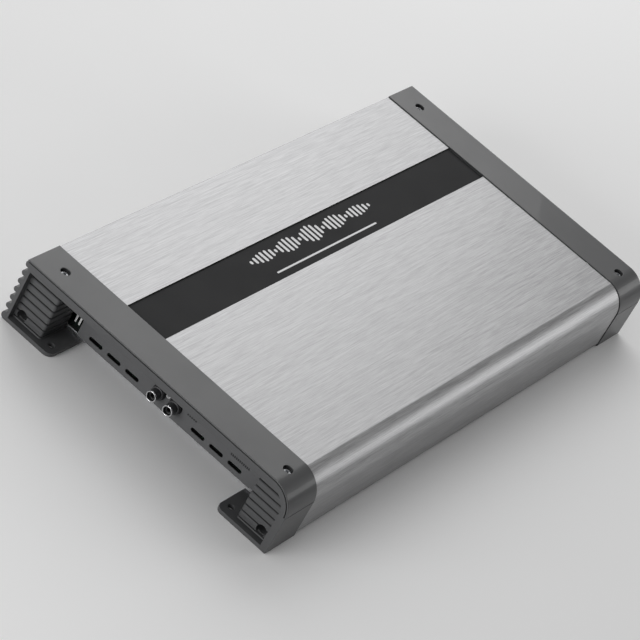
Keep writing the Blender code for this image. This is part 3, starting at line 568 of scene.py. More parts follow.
def finishes():
    """Every finish by name, made once."""
    made = bpy.context.scene.amplifier_colours
    ways = {
        "aluminium": lambda n: brushed(n, made.aluminium),
        # Partly real, partly painted light: bare cut fin ends, whitened far beyond the body's metal so they show as
        # bright slits.
        "fin ends with painted light": lambda n: plated(n, made.nickel * 1.1, 0.5, 0.3),
        "graphite": lambda n: painted(n, made.graphite, 0.42, 1500, 0.018 * MM, coat_weight=0.15),
        "panel": lambda n: painted(n, made.panel, 0.52, 1100, 0.03 * MM),
        "inlay": lambda n: painted(n, made.inlay, 0.6, 1900, 0.012 * MM, 0.12, specular_ior_level=0.12),
        "print": lambda n: painted(n, made.ink, 0.45, 1900, 0.01 * MM, 0.03),
        "dark print": lambda n: painted(n, made.moulding, 0.6, 1900, 0.01 * MM),
        "zinc": lambda n: brushed(n, made.steel, 0.42),
        "steel": lambda n: plated(n, made.steel, 0.38),
        "nickel": lambda n: plated(n, made.nickel, 0.16),
        "gunmetal": lambda n: plated(n, made.gunmetal, 0.38, 0.8),
        "brass": lambda n: plated(n, made.brass, 0.24),
        "moulding": lambda n: moulded(n, made.moulding, 0.42),
        "knob": lambda n: moulded(n, made.moulding * 2, 0.5),
        "fuse": lambda n: moulded(n, made.fuse, 0.2, transmission_weight=0.35, ior=1.5),
        "lens": lambda n: moulded(n, made.lens, 0.12, transmission_weight=0.5, ior=1.5),
        "board": lambda n: solder_mask(n, (0.02, 0.15, 0.06)),
        "sleeve": lambda n: moulded(n, (0.03, 0.05, 0.12), 0.25, coat_weight=0.6),
        "winding": lambda n: plated(n, (0.6, 0.24, 0.08), 0.3),
    }
    return {name: bpy.data.materials.get(name) or make(name) for name, make in ways.items()}


def middle_of(node):
    low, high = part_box(node)
    return (low + high) / 2


# Outlines across the amplifier, as (Y, Z) points


def ribbed_side(inset, bottom, top, steps=14):
    """The +Y side from the bottom up: a round bottom edge, then half-round ribs in a flat wall."""
    peak = HALF_WIDTH - inset
    valley = peak - RIB_DEPTH
    foot_radius = (RIB_FIRST + RIB_RADIUS - bottom) / 2
    foot = (peak - foot_radius, bottom + foot_radius)
    points = [(valley - 2 * MM, bottom)] + arc(foot, foot_radius, -math.pi / 2, RIB_SWEEP, steps)
    for rib in range(1, RIB_COUNT - 1):
        centre = (peak - RIB_RADIUS, RIB_FIRST + rib * RIB_PITCH)
        points.append((valley, centre[1] - RIB_RADIUS))
        points += arc(centre, RIB_RADIUS, -RIB_SWEEP, RIB_SWEEP, steps)
        points.append((valley, centre[1] + RIB_RADIUS))
    last = (peak - RIB_RADIUS, RIB_FIRST + (RIB_COUNT - 1) * RIB_PITCH)
    points.append((valley, last[1] - RIB_RADIUS))
    points += arc(last, RIB_RADIUS, -RIB_SWEEP, 0, steps // 2)
    return points + arc((peak - 0.6 * MM, top - 0.6 * MM), 0.6 * MM, 0, math.pi / 2, 4)


def round_side(inset, bottom, top, steps=36):
    """The -Y side from the top down: a quarter circle, then a flat wall."""
    centre = (-HALF_WIDTH + END_RADIUS, HEIGHT - END_RADIUS)
    radius = END_RADIUS - inset
    start = math.pi - math.asin(min(1, (top - centre[1]) / radius))
    points = arc(centre, radius, start, math.pi, steps)
    corner = (-HALF_WIDTH + inset + 1 * MM, bottom + 1 * MM)
    return points + arc(corner, 1 * MM, math.pi, 1.5 * math.pi, 4)


class AMPLIFIER_OT_body(bpy.types.Operator):
    """Make the extruded heat-sink body"""

    bl_idname = "amplifier.body"
    bl_label = "Heat-Sink Body"

    inset = 0.6 * MM
    wall = 4 * MM
    ceiling = 47 * MM
    rib_wall_y = 116.5 * MM
    fin_ys = (83.8 * MM, 87.3 * MM)
    fin_thickness = 1.4 * MM
    fin_tip = 12 * MM
    port_block_y = 106 * MM
    port_block_top = 13.3 * MM
    ledge = (100 * MM, 6.3 * MM, 8.3 * MM)
    screw_place = (150 * MM, 102.8 * MM)

    def inner_outline(self):
        ledge_y, ledge_low, ledge_high = self.ledge
        port = [
            (self.port_block_y, BODY_LOW.z),
            (self.port_block_y, ledge_low),
            (ledge_y, ledge_low),
            (ledge_y, ledge_high),
            (self.port_block_y, ledge_high),
            (self.port_block_y, self.port_block_top),
        ]
        centre = (-HALF_WIDTH + END_RADIUS, HEIGHT - END_RADIUS)
        radius = END_RADIUS - self.wall
        finish_angle = math.pi - math.asin((self.ceiling - centre[1]) / radius)
        points = [(-y, z) for y, z in port] + [(-HALF_WIDTH + self.wall, self.port_block_top)]
        points += arc(centre, radius, math.pi, finish_angle, 12)
        for middle in (-self.fin_ys[1], -self.fin_ys[0], *self.fin_ys):
            left, right = middle - self.fin_thickness / 2, middle + self.fin_thickness / 2
            points += [(left, self.ceiling), (left, self.fin_tip)]
            points += [(right, self.fin_tip), (right, self.ceiling)]
        return points + [(self.rib_wall_y, self.ceiling), (self.rib_wall_y, self.port_block_top)] + port[::-1]

    def execute(self, context):
        floor = INLAY_LOW.z - GAP
        channel = [(INLAY_HIGH.y + GAP, BODY_HIGH.z), (INLAY_HIGH.y + GAP, floor)]
        channel += [(INLAY_LOW.y - GAP, floor), (INLAY_LOW.y - GAP, BODY_HIGH.z)]
        outline = ribbed_side(self.inset, BODY_LOW.z, BODY_HIGH.z) + channel
        outline += round_side(self.inset, BODY_LOW.z, BODY_HIGH.z) + self.inner_outline()
        shape = prism(outline, "X", BODY_LOW.x, BODY_HIGH.x)
        reach = HALF_LENGTH
        tools = [rod(PORT_RADIUS, -reach, reach, (0, side * PORT_Y, PORT_Z), "X") for side in (-1, 1)]
        tools += [
            rod(PORT_RADIUS, BODY_LOW.z, self.ledge[2] + GAP, (x * self.screw_place[0], y * self.screw_place[1], 0))
            for x in (-1, 1)
            for y in (-1, 1)
        ]
        shape = cut(shape, *tools)
        sizes = context.scene.amplifier_sizes
        ends = (BODY_LOW.x, BODY_HIGH.x)

        def outside(edge):
            """The channel's rims and the ends of the outer skin."""
            middle = (edge.verts[0].co + edge.verts[1].co) / 2
            at_end = min(abs(middle.x - end) for end in ends) < 0.01 * MM
            skin = middle.z > BODY_HIGH.z - 3 * MM or abs(middle.y) > HALF_WIDTH - RIB_DEPTH - self.inset - 0.1 * MM
            rim = abs(middle.x) < 1 * MM and middle.z > BODY_HIGH.z - 0.05 * MM
            return (at_end and skin) or rim

        add_piece(
            "heat_sink_extrusion",
            soften(shape, sizes.edge * 0.6, where=outside),
            finishes()["aluminium"],
            ["heatsink_body"],
        )
        # Thin plates on the fins' cut ends: partly bare aluminium, partly painted light, whitened so the ends show as
        # bright slits.
        for side, name in ((1, "left"), (-1, "right")):
            for number, middle in enumerate(self.fin_ys, 1):
                face = block(
                    (BODY_LOW.x - 0.08 * MM, BODY_LOW.x + 0.1 * MM),
                    (side * middle - self.fin_thickness / 2, side * middle + self.fin_thickness / 2),
                    (self.fin_tip, self.ceiling),
                )
                face = soften(face, 0.03 * MM)
                add_piece(
                    f"fin_end_painted_light_{name}_{number}", face, finishes()["fin ends with painted light"]
                )
        return {"FINISHED"}


class AMPLIFIER_OT_stripe(bpy.types.Operator):
    """Make the black inlay with its printed bars and rule"""

    bl_idname = "amplifier.stripe"
    bl_label = "Inlay and Print"

    print_height = 0.06 * MM
    bar_width = 2.6 * MM

    def execute(self, context):
        sizes = context.scene.amplifier_sizes
        strip = block(*zip(INLAY_LOW, INLAY_HIGH))
        add_piece("inlay_strip", soften(strip, 0.18 * MM, 3), finishes()["inlay"], ["stripe_inlay"])

        low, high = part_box("stripe_motif")
        pitch = (high.x - low.x - self.bar_width) / (sizes.bars - 1)
        middle_y = (low.y + high.y) / 2
        tallest = high.y - low.y
        z = INLAY_HIGH.z
        bars = []
        for number in range(sizes.bars):
            swing = 2 * number / (sizes.bars - 1) - 1
            wave = abs(math.cos(2.5 * math.pi * swing)) * (1 - 0.6 * abs(swing))
            tall = max(self.bar_width, tallest * (0.2 + 0.8 * wave))
            x = low.x + self.bar_width / 2 + number * pitch
            outline = [(x + b, middle_y + a) for a, b in stadium((0, 0), tall, self.bar_width)]
            bars.append(prism(outline, "Z", z - 0.1 * MM, z + self.print_height))
        add_piece("printed_bars", joined(*bars), finishes()["print"], ["stripe_motif"])
        low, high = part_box("stripe_rule")
        outline = stadium(((low.x + high.x) / 2, (low.y + high.y) / 2), high.x - low.x, high.y - low.y)
        rule = prism(outline, "Z", z - 0.1 * MM, z + self.print_height)
        add_piece("printed_rule", rule, finishes()["print"], ["stripe_rule"])
        return {"FINISHED"}


class AMPLIFIER_OT_end_frames(bpy.types.Operator):
    """Make the two cast end frames with their feet and ribbed towers"""

    bl_idname = "amplifier.end_frames"
    bl_label = "End Frames"

    beyond = -1 * MM
    relief_low = 14.5 * MM
    relief_high = 36 * MM

    def pocket_limit(self, side, z):
        """How far out the foot's pocket reaches at height z."""
        if side > 0 or z < HEIGHT - END_RADIUS:
            return POCKET_OUTER_Y
        radius = POCKET_OUTER_Y - HALF_WIDTH + END_RADIUS
        return HALF_WIDTH - END_RADIUS + math.sqrt(radius**2 - (z - HEIGHT + END_RADIUS) ** 2)

    def pocket(self, side):
        """The open front pocket of a foot, as (Y, Z) points."""
        inner = TOWER_INNER_Y - 1 * MM
        points = [(side * inner, FOOT_THICKNESS), (side * POCKET_OUTER_Y, FOOT_THICKNESS)]
        if side > 0:
            return points + [(POCKET_OUTER_Y, BAND_LOW), (inner, BAND_LOW)]
        centre = (-HALF_WIDTH + END_RADIUS, HEIGHT - END_RADIUS)
        radius = POCKET_OUTER_Y + centre[0]
        finish_angle = math.pi - math.asin((BAND_LOW - centre[1]) / radius)
        return points + arc(centre, radius, math.pi, finish_angle, 16) + [(-inner, BAND_LOW)]

    def tower_path(self, offset, outer, back):
        """A line round a tower's front and inner side, offset into it, as (depth, Y) points."""
        centre = (TOWER_RECESS + TOWER_CORNER, TOWER_INNER_Y + TOWER_CORNER)
        radius = max(TOWER_CORNER - offset, 0.05 * MM)
        shift = max(0, offset - TOWER_CORNER + 0.05 * MM)
        middle = (centre[0] + shift, centre[1] + shift)
        corner = arc(middle, radius, math.pi, 1.5 * math.pi, 6)
        return [(TOWER_RECESS + offset, outer)] + corner + [(back, TOWER_INNER_Y + offset)]

    def groove_tool(self, side, z, sizes):
        """A groove with a chamfer on the rib below it."""
        outer = self.pocket_limit(side, z + sizes.groove) - 0.2 * MM
        back = FRAME_DEPTH + 1 * MM
        front = TOWER_RECESS - 1 * MM
        inner = TOWER_INNER_Y - 1 * MM
        half = sizes.groove / 2
        slack = 0.1 * MM
        levels = [
            (z - half - sizes.chamfer - slack, -slack),
            (z - half, sizes.chamfer),
            (z - half + 0.02 * MM, sizes.groove_depth),
            (z + half, sizes.groove_depth),
        ]
        rings = []
        for level, offset in levels:
            plan = [(front, outer)] + self.tower_path(offset, outer, back) + [(back, inner), (front, inner)]
            rings.append([(at(-1, depth), side * y, level) for depth, y in plan])
        return loft(rings)

    def corner_tool(self, side):
        """Rounds a tower's front inner corner."""
        centre = (TOWER_RECESS + TOWER_CORNER, TOWER_INNER_Y + TOWER_CORNER)
        plan = arc(centre, TOWER_CORNER, math.pi, 1.5 * math.pi, 8)
        plan += [(centre[0], TOWER_INNER_Y - 0.5 * MM), (TOWER_RECESS - 0.5 * MM, TOWER_INNER_Y - 0.5 * MM)]
        plan += [(TOWER_RECESS - 0.5 * MM, centre[1])]
        points = [(at(-1, depth), side * y) for depth, y in plan]
        return prism(points, "Z", FOOT_THICKNESS + 0.01 * MM, BAND_LOW - 0.01 * MM)

    def blank(self):
        clearance = COVER_THICKNESS + 2 * GAP
        top = HEIGHT - clearance
        step_z = COVER_LIP_Z - GAP
        outline = ribbed_side(0, 0, top) + round_side(clearance, 0, top)[:-5]
        outline += [(-HALF_WIDTH + clearance, step_z), (-HALF_WIDTH, step_z)]
        outline += arc((-HALF_WIDTH + 1 * MM, 1 * MM), 1 * MM, math.pi, 1.5 * math.pi, 4)
        return prism(outline, "X", at(-1, 0), at(-1, FRAME_DEPTH))

    def between_feet(self):
        flare = FOOT_INNER_Y + FOOT_CORNER
        right = [(self.beyond, flare)]
        right += arc((FOOT_CORNER, flare), FOOT_CORNER, math.pi, 1.5 * math.pi, 16)
        right += [(FRAME_DEPTH + 1 * MM, FOOT_INNER_Y)]
        outline = [(at(-1, d), y) for d, y in right] + [(at(-1, d), -y) for d, y in reversed(right)]
        return prism(outline, "Z", self.beyond, BAND_LOW)

    def execute(self, context):
        sizes = context.scene.amplifier_sizes
        back = FRAME_DEPTH + 1 * MM
        panel_reach = PANEL_BOX[1].y + 3 * MM
        shape = cut(self.blank(), self.between_feet())
        shape = cut(
            shape,
            block(
                (at(-1, BAND_THICKNESS), at(-1, back)), (-panel_reach, panel_reach), (FOOT_THICKNESS, HEIGHT)
            ),
        )
        aisles = [
            block(
                (at(-1, self.beyond), at(-1, back)),
                (side * (FOOT_INNER_Y - 1 * MM), side * TOWER_INNER_Y),
                (FOOT_THICKNESS, BAND_LOW),
            )
            for side in (-1, 1)
        ]
        shape = cut(shape, *aisles)
        pockets = [
            prism(self.pocket(side), "X", at(-1, self.beyond), at(-1, TOWER_RECESS)) for side in (-1, 1)
        ]
        shape = cut(shape, *pockets)
        shape = cut(shape, *(self.corner_tool(side) for side in (-1, 1)))
        grooves = [
            self.groove_tool(side, GROOVE_FIRST + number * GROOVE_PITCH, sizes)
            for side in (-1, 1)
            for number in range(GROOVE_COUNT)
        ]
        shape = cut(shape, *grooves)
        shape = cut(shape, *(self.bores(side) for side in (-1, 1)))

        def front(edge):
            """Edges of the outer faces and the foot plates, away from the towers' ribs."""
            middle = (edge.verts[0].co + edge.verts[1].co) / 2
            depth = middle.x + HALF_LENGTH
            plate = middle.z < FOOT_THICKNESS + 0.02 * MM and abs(middle.y) < TOWER_INNER_Y - 0.1 * MM
            return depth < 0.02 * MM or middle.z < 0.02 * MM or plate

        shape = soften(shape, sizes.edge, 2, 40, front)
        twin = copied(shape, Matrix.Diagonal((-1, 1, 1, 1)))
        for name, casting in (("input", shape), ("output", twin)):
            add_piece(f"{name}_frame_casting", casting, finishes()["graphite"], [f"{name}_end_frame"])
        return {"FINISHED"}

    def bores(self, side):
        """The screw bores, the fixing hole and the core hole of one tower."""
        end_bore = [(-1 * MM, 0), (-1 * MM, END_BORE_RADIUS), (END_BORE_DEPTH, END_BORE_RADIUS)]
        end_bore += [(END_BORE_DEPTH, PORT_RADIUS), (FRAME_DEPTH + 1 * MM, PORT_RADIUS)]
        end_bore += [(FRAME_DEPTH + 1 * MM, 0)]
        seat = [(38.5 * MM, 0), (38.5 * MM, 1.8 * MM), (COVER_SEAT_Z, 1.8 * MM)]
        seat += [(COVER_SEAT_Z, COVER_HOLE_RADIUS), (HEIGHT, COVER_HOLE_RADIUS), (HEIGHT, 0)]
        hole_depth, hole_y, hole_radius = FIXING_HOLE
        return joined(
            turned(end_bore, (at(-1, 0), side * PORT_Y, PORT_Z), "X"),
            turned(seat, (at(-1, COVER_SCREW_DEPTH), side * COVER_SCREW_Y, 0)),
            rod(hole_radius, self.beyond, FOOT_THICKNESS + 2 * MM, (at(-1, hole_depth), side * hole_y, 0)),
            block(
                (at(-1, 12 * MM), at(-1, FRAME_DEPTH + 1 * MM)),
                (95 * MM * side, 112.5 * MM * side),
                (self.relief_low, self.relief_high),
            ),
        )


class AMPLIFIER_OT_end_covers(bpy.types.Operator):
    """Make the two sheets that wrap the end frames"""

    bl_idname = "amplifier.end_covers"
    bl_label = "End Covers"

    def execute(self, context):
        sizes = context.scene.amplifier_sizes
        centre = (-HALF_WIDTH + END_RADIUS, HEIGHT - END_RADIUS)
        lip = math.pi - math.asin((COVER_LIP_Z - centre[1]) / END_RADIUS)
        edge = COVER_HIGH.y
        outline = [(edge, HEIGHT - COVER_THICKNESS), (edge, HEIGHT)]
        outline += arc(centre, END_RADIUS, math.pi / 2, lip, 48)
        outline += arc(centre, END_RADIUS - COVER_THICKNESS, lip, math.pi / 2, 48)
        shape = prism(outline, "X", COVER_LOW.x, COVER_HIGH.x)
        holes = [
            rod(COVER_HOLE_RADIUS, BAND_LOW, HEIGHT + 1 * MM, (at(-1, COVER_SCREW_DEPTH), y, 0), steps=64)
            for y in (-COVER_SCREW_Y, COVER_SCREW_Y)
        ]
        shape = soften(cut(shape, *holes), sizes.edge * 1.5, 3, 40)
        twin = copied(shape, Matrix.Diagonal((-1, 1, 1, 1)))
        for name, sheet in (("input", shape), ("output", twin)):
            add_piece(f"{name}_cover_sheet", sheet, finishes()["graphite"], [f"{name}_end_cover"])
        return {"FINISHED"}


def socket_screw(head_radius, head_height, radius, length, key=0.52):
    """A socket-head screw along +Z with the underside of its head at 0 and a hexagon recess on top."""
    lip = 0.3 * MM
    profile = [(-length, 0), (-length, radius * 0.7), (-length + radius * 0.3, radius), (0, radius)]
    profile += [(0, head_radius), (head_height - lip, head_radius)]
    profile += arc((head_height - lip, head_radius - lip), lip, math.pi / 2, 0, 4)[1:]
    profile += [(head_height, 0)]
    recess = prism(
        polygon((0, 0), head_radius * key, 6), "Z", head_height * 0.4, head_height + 1 * MM
    )
    return cut(turned(profile), recess)


class AMPLIFIER_OT_frame_screws(bpy.types.Operator):
    """Make the screws of the covers and the end frames"""

    bl_idname = "amplifier.frame_screws"
    bl_label = "Frame Screws"

    def execute(self, context):
        cover = socket_screw(2.75 * MM, 2.8 * MM, 1.5 * MM, 8 * MM)
        end_screw = socket_screw(3.5 * MM, 3.5 * MM, 1.6 * MM, 26 * MM)
        for end, end_name in ((-1, "input"), (1, "output")):
            for side, side_name in ((1, "left"), (-1, "right")):
                place = (at(end, COVER_SCREW_DEPTH), side * COVER_SCREW_Y, COVER_SEAT_Z + GAP)
                add_piece(
                    f"{end_name}_cover_fixing_{side_name}",
                    copied(cover, Matrix.Translation(place)),
                    finishes()["steel"],
                    [f"{end_name}_cover_screw_{side_name}"],
                )
                place = (at(end, END_BORE_DEPTH - GAP), side * PORT_Y, PORT_Z)
                turn = Matrix.Rotation(end * math.pi / 2, 4, "Y")
                add_piece(
                    f"{end_name}_frame_fixing_{side_name}",
                    copied(end_screw, Matrix.Translation(place) @ turn),
                    finishes()["steel"],
                    [f"{end_name}_end_screw_{side_name}"],
                )
        cover.free()
        end_screw.free()
        return {"FINISHED"}


def panel_shape(end, edge, tools):
    """A folded end panel with a flange along its top and bottom, pierced by tools."""
    low, high = PANEL_BOX
    front = low.x + HALF_LENGTH
    back = high.x + HALF_LENGTH
    inside = front + 2 * MM
    fold = 1.5 * MM
    bend = 1 * MM
    outline = [(back, low.z), (back, low.z + fold), (inside, low.z + fold)]
    outline += [(inside, high.z - fold), (back, high.z - fold), (back, high.z)]
    outline += arc((front + bend, high.z - bend), bend, math.pi / 2, math.pi, 6)
    outline += arc((front + bend, low.z + bend), bend, math.pi, 1.5 * math.pi, 6)
    points = [(at(end, depth), z) for depth, z in outline]
    shape = prism(points, "Y", -high.y, high.y)
    if end < 0 and low.y < -high.y:
        heights = (low.z + 1.5 * bend, EAR_HIGH)
        ear = block((at(end, front), at(end, inside)), (low.y, 1 * MM - high.y), heights)
        shape = combined(shape, ear, "UNION")
    shape = cut(shape, *tools)
    return soften(shape, edge, 2, 40, lambda e: abs(e.verts[0].co.x - at(end, front)) < 0.02 * MM)


def panel_span(end):
    front = PANEL_BOX[0].x + HALF_LENGTH
    return sorted((at(end, front - 1 * MM), at(end, front + 2.5 * MM)))


def vent_slots(span, z, inset=0.0):
    """A panel's six slots as solids, each drawn in by inset."""
    return [
        prism(stadium((side * y, z), SLOT_LENGTH - 2 * inset, SLOT_HEIGHT - 2 * inset), "X", *span)
        for side in (-1, 1)
        for y in SLOT_YS
    ]


def add_painted_slot_shade(name, end, z):
    """Painted shade: black rings just inside the face of a panel's slots, standing in for the shade within the
    openings.
    """
    front = PANEL_BOX[0].x + HALF_LENGTH
    span = sorted((at(end, front + 0.15 * MM), at(end, front + 2 * MM)))
    rings = zip(vent_slots(span, z, 0.02 * MM), vent_slots(panel_span(end), z, 0.27 * MM))
    liners_and_slot_shade = [cut(outer, inner) for outer, inner in rings]
    # The black moulding finish here is painted shade inside the slots.
    add_piece(name, joined(*liners_and_slot_shade), finishes()["moulding"])


class AMPLIFIER_OT_input_panel(bpy.types.Operator):
    """Make the signal end's panel with its slots, holes and marks"""

    bl_idname = "amplifier.input_panel"
    bl_label = "Signal Panel"

    slot_z = 13.2 * MM
    mark_height = 0.05 * MM

    def execute(self, context):
        low, high = panel_span(-1)
        tools = vent_slots((low, high), self.slot_z)
        for name in ("socket_shell_left", "socket_shell_right"):
            tools.append(rod(5.6 * MM, low, high, (0, middle_of(name).y, middle_of(name).z), "X"))
        tools.append(rod(1.6 * MM, low, high, (0, 0, middle_of("socket_screw").z), "X"))
        for name in ("gain_knob", "low_pass_knob", "bass_boost_knob"):
            tools.append(rod(3.4 * MM, low, high, (0, middle_of(name).y, CONTROL_Z), "X"))
        tools.append(rod(1.9 * MM, low, high, (0, middle_of("status_light").y, CONTROL_Z), "X"))
        switch_y = middle_of("filter_switch").y
        window = (switch_y - 3.8 * MM, switch_y + 3.8 * MM)
        tools.append(block((low, high), window, (CONTROL_Z - 2 * MM, CONTROL_Z + 2 * MM)))
        shape = panel_shape(-1, context.scene.amplifier_sizes.edge * 0.7, tools)
        add_piece("signal_panel_sheet", shape, finishes()["panel"], ["input_panel"])
        # Painted shade: black rings inside the signal panel's slots.
        add_painted_slot_shade("signal_panel_painted_shade", -1, self.slot_z)
        self.print_marks()
        return {"FINISHED"}

    def print_marks(self):
        """Plain dashes beside the sockets and over the slots, and a scale of dots round each knob."""
        face = PANEL_BOX[0].x
        span = (face - self.mark_height, face + 0.1 * MM)

        def dashes(start, widths, z, tall):
            row = []
            y = start
            for width in widths:
                row.append(block(span, (y, y - width), (z - tall / 2, z + tall / 2)))
                y -= width + 0.5 * MM
            return row

        marks = dashes(-17.5 * MM, [1.3 * MM] * 5, 20.7 * MM, 1.8 * MM)
        marks += dashes(-57.7 * MM, [1.1 * MM] * 11, 20 * MM, 1.8 * MM)
        marks += dashes(36 * MM, [1.3 * MM] * 3, 42.5 * MM, 1 * MM)
        add_piece("signal_panel_marks", joined(*marks), finishes()["dark print"])
        dots = []
        for name in ("gain_knob", "low_pass_knob", "bass_boost_knob"):
            for turn in range(-5, 6):
                angle = math.radians(90 + 28 * turn)
                radius = 6.6 * MM
                place = (0, middle_of(name).y + radius * math.cos(angle), CONTROL_Z + radius * math.sin(angle))
                dots.append(rod(0.35 * MM, *span, place, "X", 10))
        add_piece("knob_scales", joined(*dots), finishes()["print"])


class AMPLIFIER_OT_sockets(bpy.types.Operator):
    """Make the pair of signal sockets with their moulding and screw"""

    bl_idname = "amplifier.sockets"
    bl_label = "Signal Sockets"

    boss_radius = 5.3 * MM
    boss_front = 28.2 * MM

    def moulding(self):
        low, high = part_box("socket_block")
        behind = PANEL_BOX[0].x + 2 * MM + GAP
        base = soften(block((behind, high.x), (low.y, high.y), (low.z, high.z)), 0.4 * MM, 3)
        for name in ("left", "right"):
            middle = middle_of(f"socket_shell_{name}")
            rim = 0.5 * MM
            front = at(-1, self.boss_front)
            profile = [(front, 0), (front, self.boss_radius - rim)]
            profile += arc((front + rim, self.boss_radius - rim), rim, math.pi, math.pi / 2, 5)[1:]
            profile += [(behind + 1 * MM, self.boss_radius), (behind + 1 * MM, 0)]
            boss = turned(profile, (0, middle.y, middle.z), "X", 56)
            base = combined(base, boss, "UNION")
        return base

    def execute(self, context):
        kinds = finishes()
        add_piece("socket_moulding", self.moulding(), kinds["moulding"], ["socket_block"])
        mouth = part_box("socket_shell_left")[0].x
        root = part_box("socket_shell_left")[1].x
        ring_depth = 1.1 * MM
        for name in ("left", "right"):
            middle = middle_of(f"socket_shell_{name}")
            place = (0, middle.y, middle.z)
            lip = 0.35 * MM
            ring = [(mouth + ring_depth, 3.2 * MM), (mouth + lip, 3.2 * MM)]
            ring += arc((mouth + lip, 3.55 * MM), lip, 1.5 * math.pi, math.pi, 4)[1:]
            ring += arc((mouth + lip, 3.8 * MM), lip, math.pi, math.pi / 2, 4)
            ring += [(mouth + ring_depth, 4.15 * MM)]
            add_piece(
                f"socket_mouth_{name}",
                turned(ring, place, "X", 64),
                kinds["nickel"],
            )
            barrel = [(mouth + ring_depth, 3.25 * MM), (mouth + ring_depth, 4.05 * MM)]
            barrel += [(root - 1.4 * MM, 4.05 * MM), (root - 1.2 * MM, 4.9 * MM), (root, 4.9 * MM), (root, 3.25 * MM)]
            add_piece(
                f"socket_barrel_{name}",
                turned(barrel, place, "X", 64),
                kinds["gunmetal"],
                [f"socket_shell_{name}"],
            )
            core = [(root, 0), (root, 3 * MM), (mouth + 2.4 * MM, 3 * MM), (mouth + 2.2 * MM, 2.8 * MM)]
            core += [(mouth + 2.2 * MM, 1.8 * MM), (mouth + 2.4 * MM, 1.6 * MM)]
            core += [(mouth + 7 * MM, 1.6 * MM), (mouth + 7 * MM, 0)]
            add_piece(
                f"socket_insulator_{name}",
                turned(core, place, "X", 56),
                kinds["moulding"],
                [f"socket_core_{name}"],
            )
        screw = socket_screw(2.1 * MM, 1.2 * MM, 1.1 * MM, 8 * MM)
        place = Matrix.Translation((PANEL_BOX[0].x, 0, middle_of("socket_screw").z))
        turn = Matrix.Rotation(-math.pi / 2, 4, "Y")
        add_piece("socket_fixing", copied(screw, place @ turn), kinds["nickel"], ["socket_screw"])
        screw.free()
        return {"FINISHED"}


class AMPLIFIER_OT_controls(bpy.types.Operator):
    """Make the knobs, the switch and the lamp"""

    bl_idname = "amplifier.controls"
    bl_label = "Controls"

    def knob(self, node, flutes):
        """A fluted knob on a plain skirt, with its pointer."""
        low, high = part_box(node)
        middle = middle_of(node)
        front, stem, face = low.x, high.x, PANEL_BOX[0].x - GAP
        steps = flutes * 4
        rings = []
        for back, inset, depth in (
            (front, 0.5, 0),
            (front + 0.12 * MM, 0.22, 0.3),
            (front + 0.4 * MM, 0, 1),
            (face - 1 * MM, 0, 1),
        ):
            turns = [math.tau * step / steps for step in range(steps)]
            radii = [(3.9 - inset + 0.16 * depth * math.cos(flutes * turn)) * MM for turn in turns]
            rings.append(
                [
                    (back, middle.y + radius * math.cos(turn), CONTROL_Z + radius * math.sin(turn))
                    for turn, radius in zip(turns, radii)
                ]
            )
        skirt = [(face - 2 * MM, 0), (face - 2 * MM, 4.3 * MM), (face - 1.7 * MM, 4.6 * MM)]
        skirt += [(face, 4.6 * MM), (face, 3 * MM), (stem, 3 * MM), (stem, 0)]
        whole = combined(loft(rings), turned(skirt, (0, middle.y, CONTROL_Z), "X"), "UNION")
        half = 0.4 * MM
        groove = block(
            (front - 1 * MM, front + 0.4 * MM),
            (middle.y - half, middle.y + half),
            (CONTROL_Z + 0.8 * MM, CONTROL_Z + 5 * MM),
        )
        add_piece(f"{node}_grip", cut(whole, groove), finishes()["knob"], [node], node)
        inlay = block(
            (front + 0.15 * MM, front + 0.45 * MM),
            (middle.y - half * 0.9, middle.y + half * 0.9),
            (CONTROL_Z + 0.9 * MM, CONTROL_Z + 3.7 * MM),
        )
        add_piece(f"{node}_pointer", soften(inlay, 0.05 * MM), finishes()["print"], body=node)

    def execute(self, context):
        for node in ("gain_knob", "low_pass_knob", "bass_boost_knob"):
            self.knob(node, context.scene.amplifier_sizes.flutes)
        low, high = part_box("filter_switch")
        shape = soften(block(*zip(low, high)), 0.25 * MM, 3)
        ridges = [
            block((low.x - 1 * MM, low.x + 0.5 * MM), (y - 0.15 * MM, y + 0.15 * MM), (low.z - 1 * MM, high.z + 1 * MM))
            for y in (middle_of("filter_switch").y + step * 0.7 * MM for step in (-1, 0, 1))
        ]
        add_piece("filter_slider", cut(shape, *ridges), finishes()["knob"], ["filter_switch"], "filter_switch")
        low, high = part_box("status_light")
        middle = middle_of("status_light")
        dome = 1.5 * MM
        profile = [(low.x, 0)] + arc((low.x + dome, 0), dome, math.pi, math.pi / 2, 10)[1:]
        profile += [(high.x, dome), (high.x, 0)]
        lamp = turned(profile, (0, middle.y, middle.z), "X")
        add_piece("status_lamp", lamp, finishes()["lens"], ["status_light"])
        return {"FINISHED"}


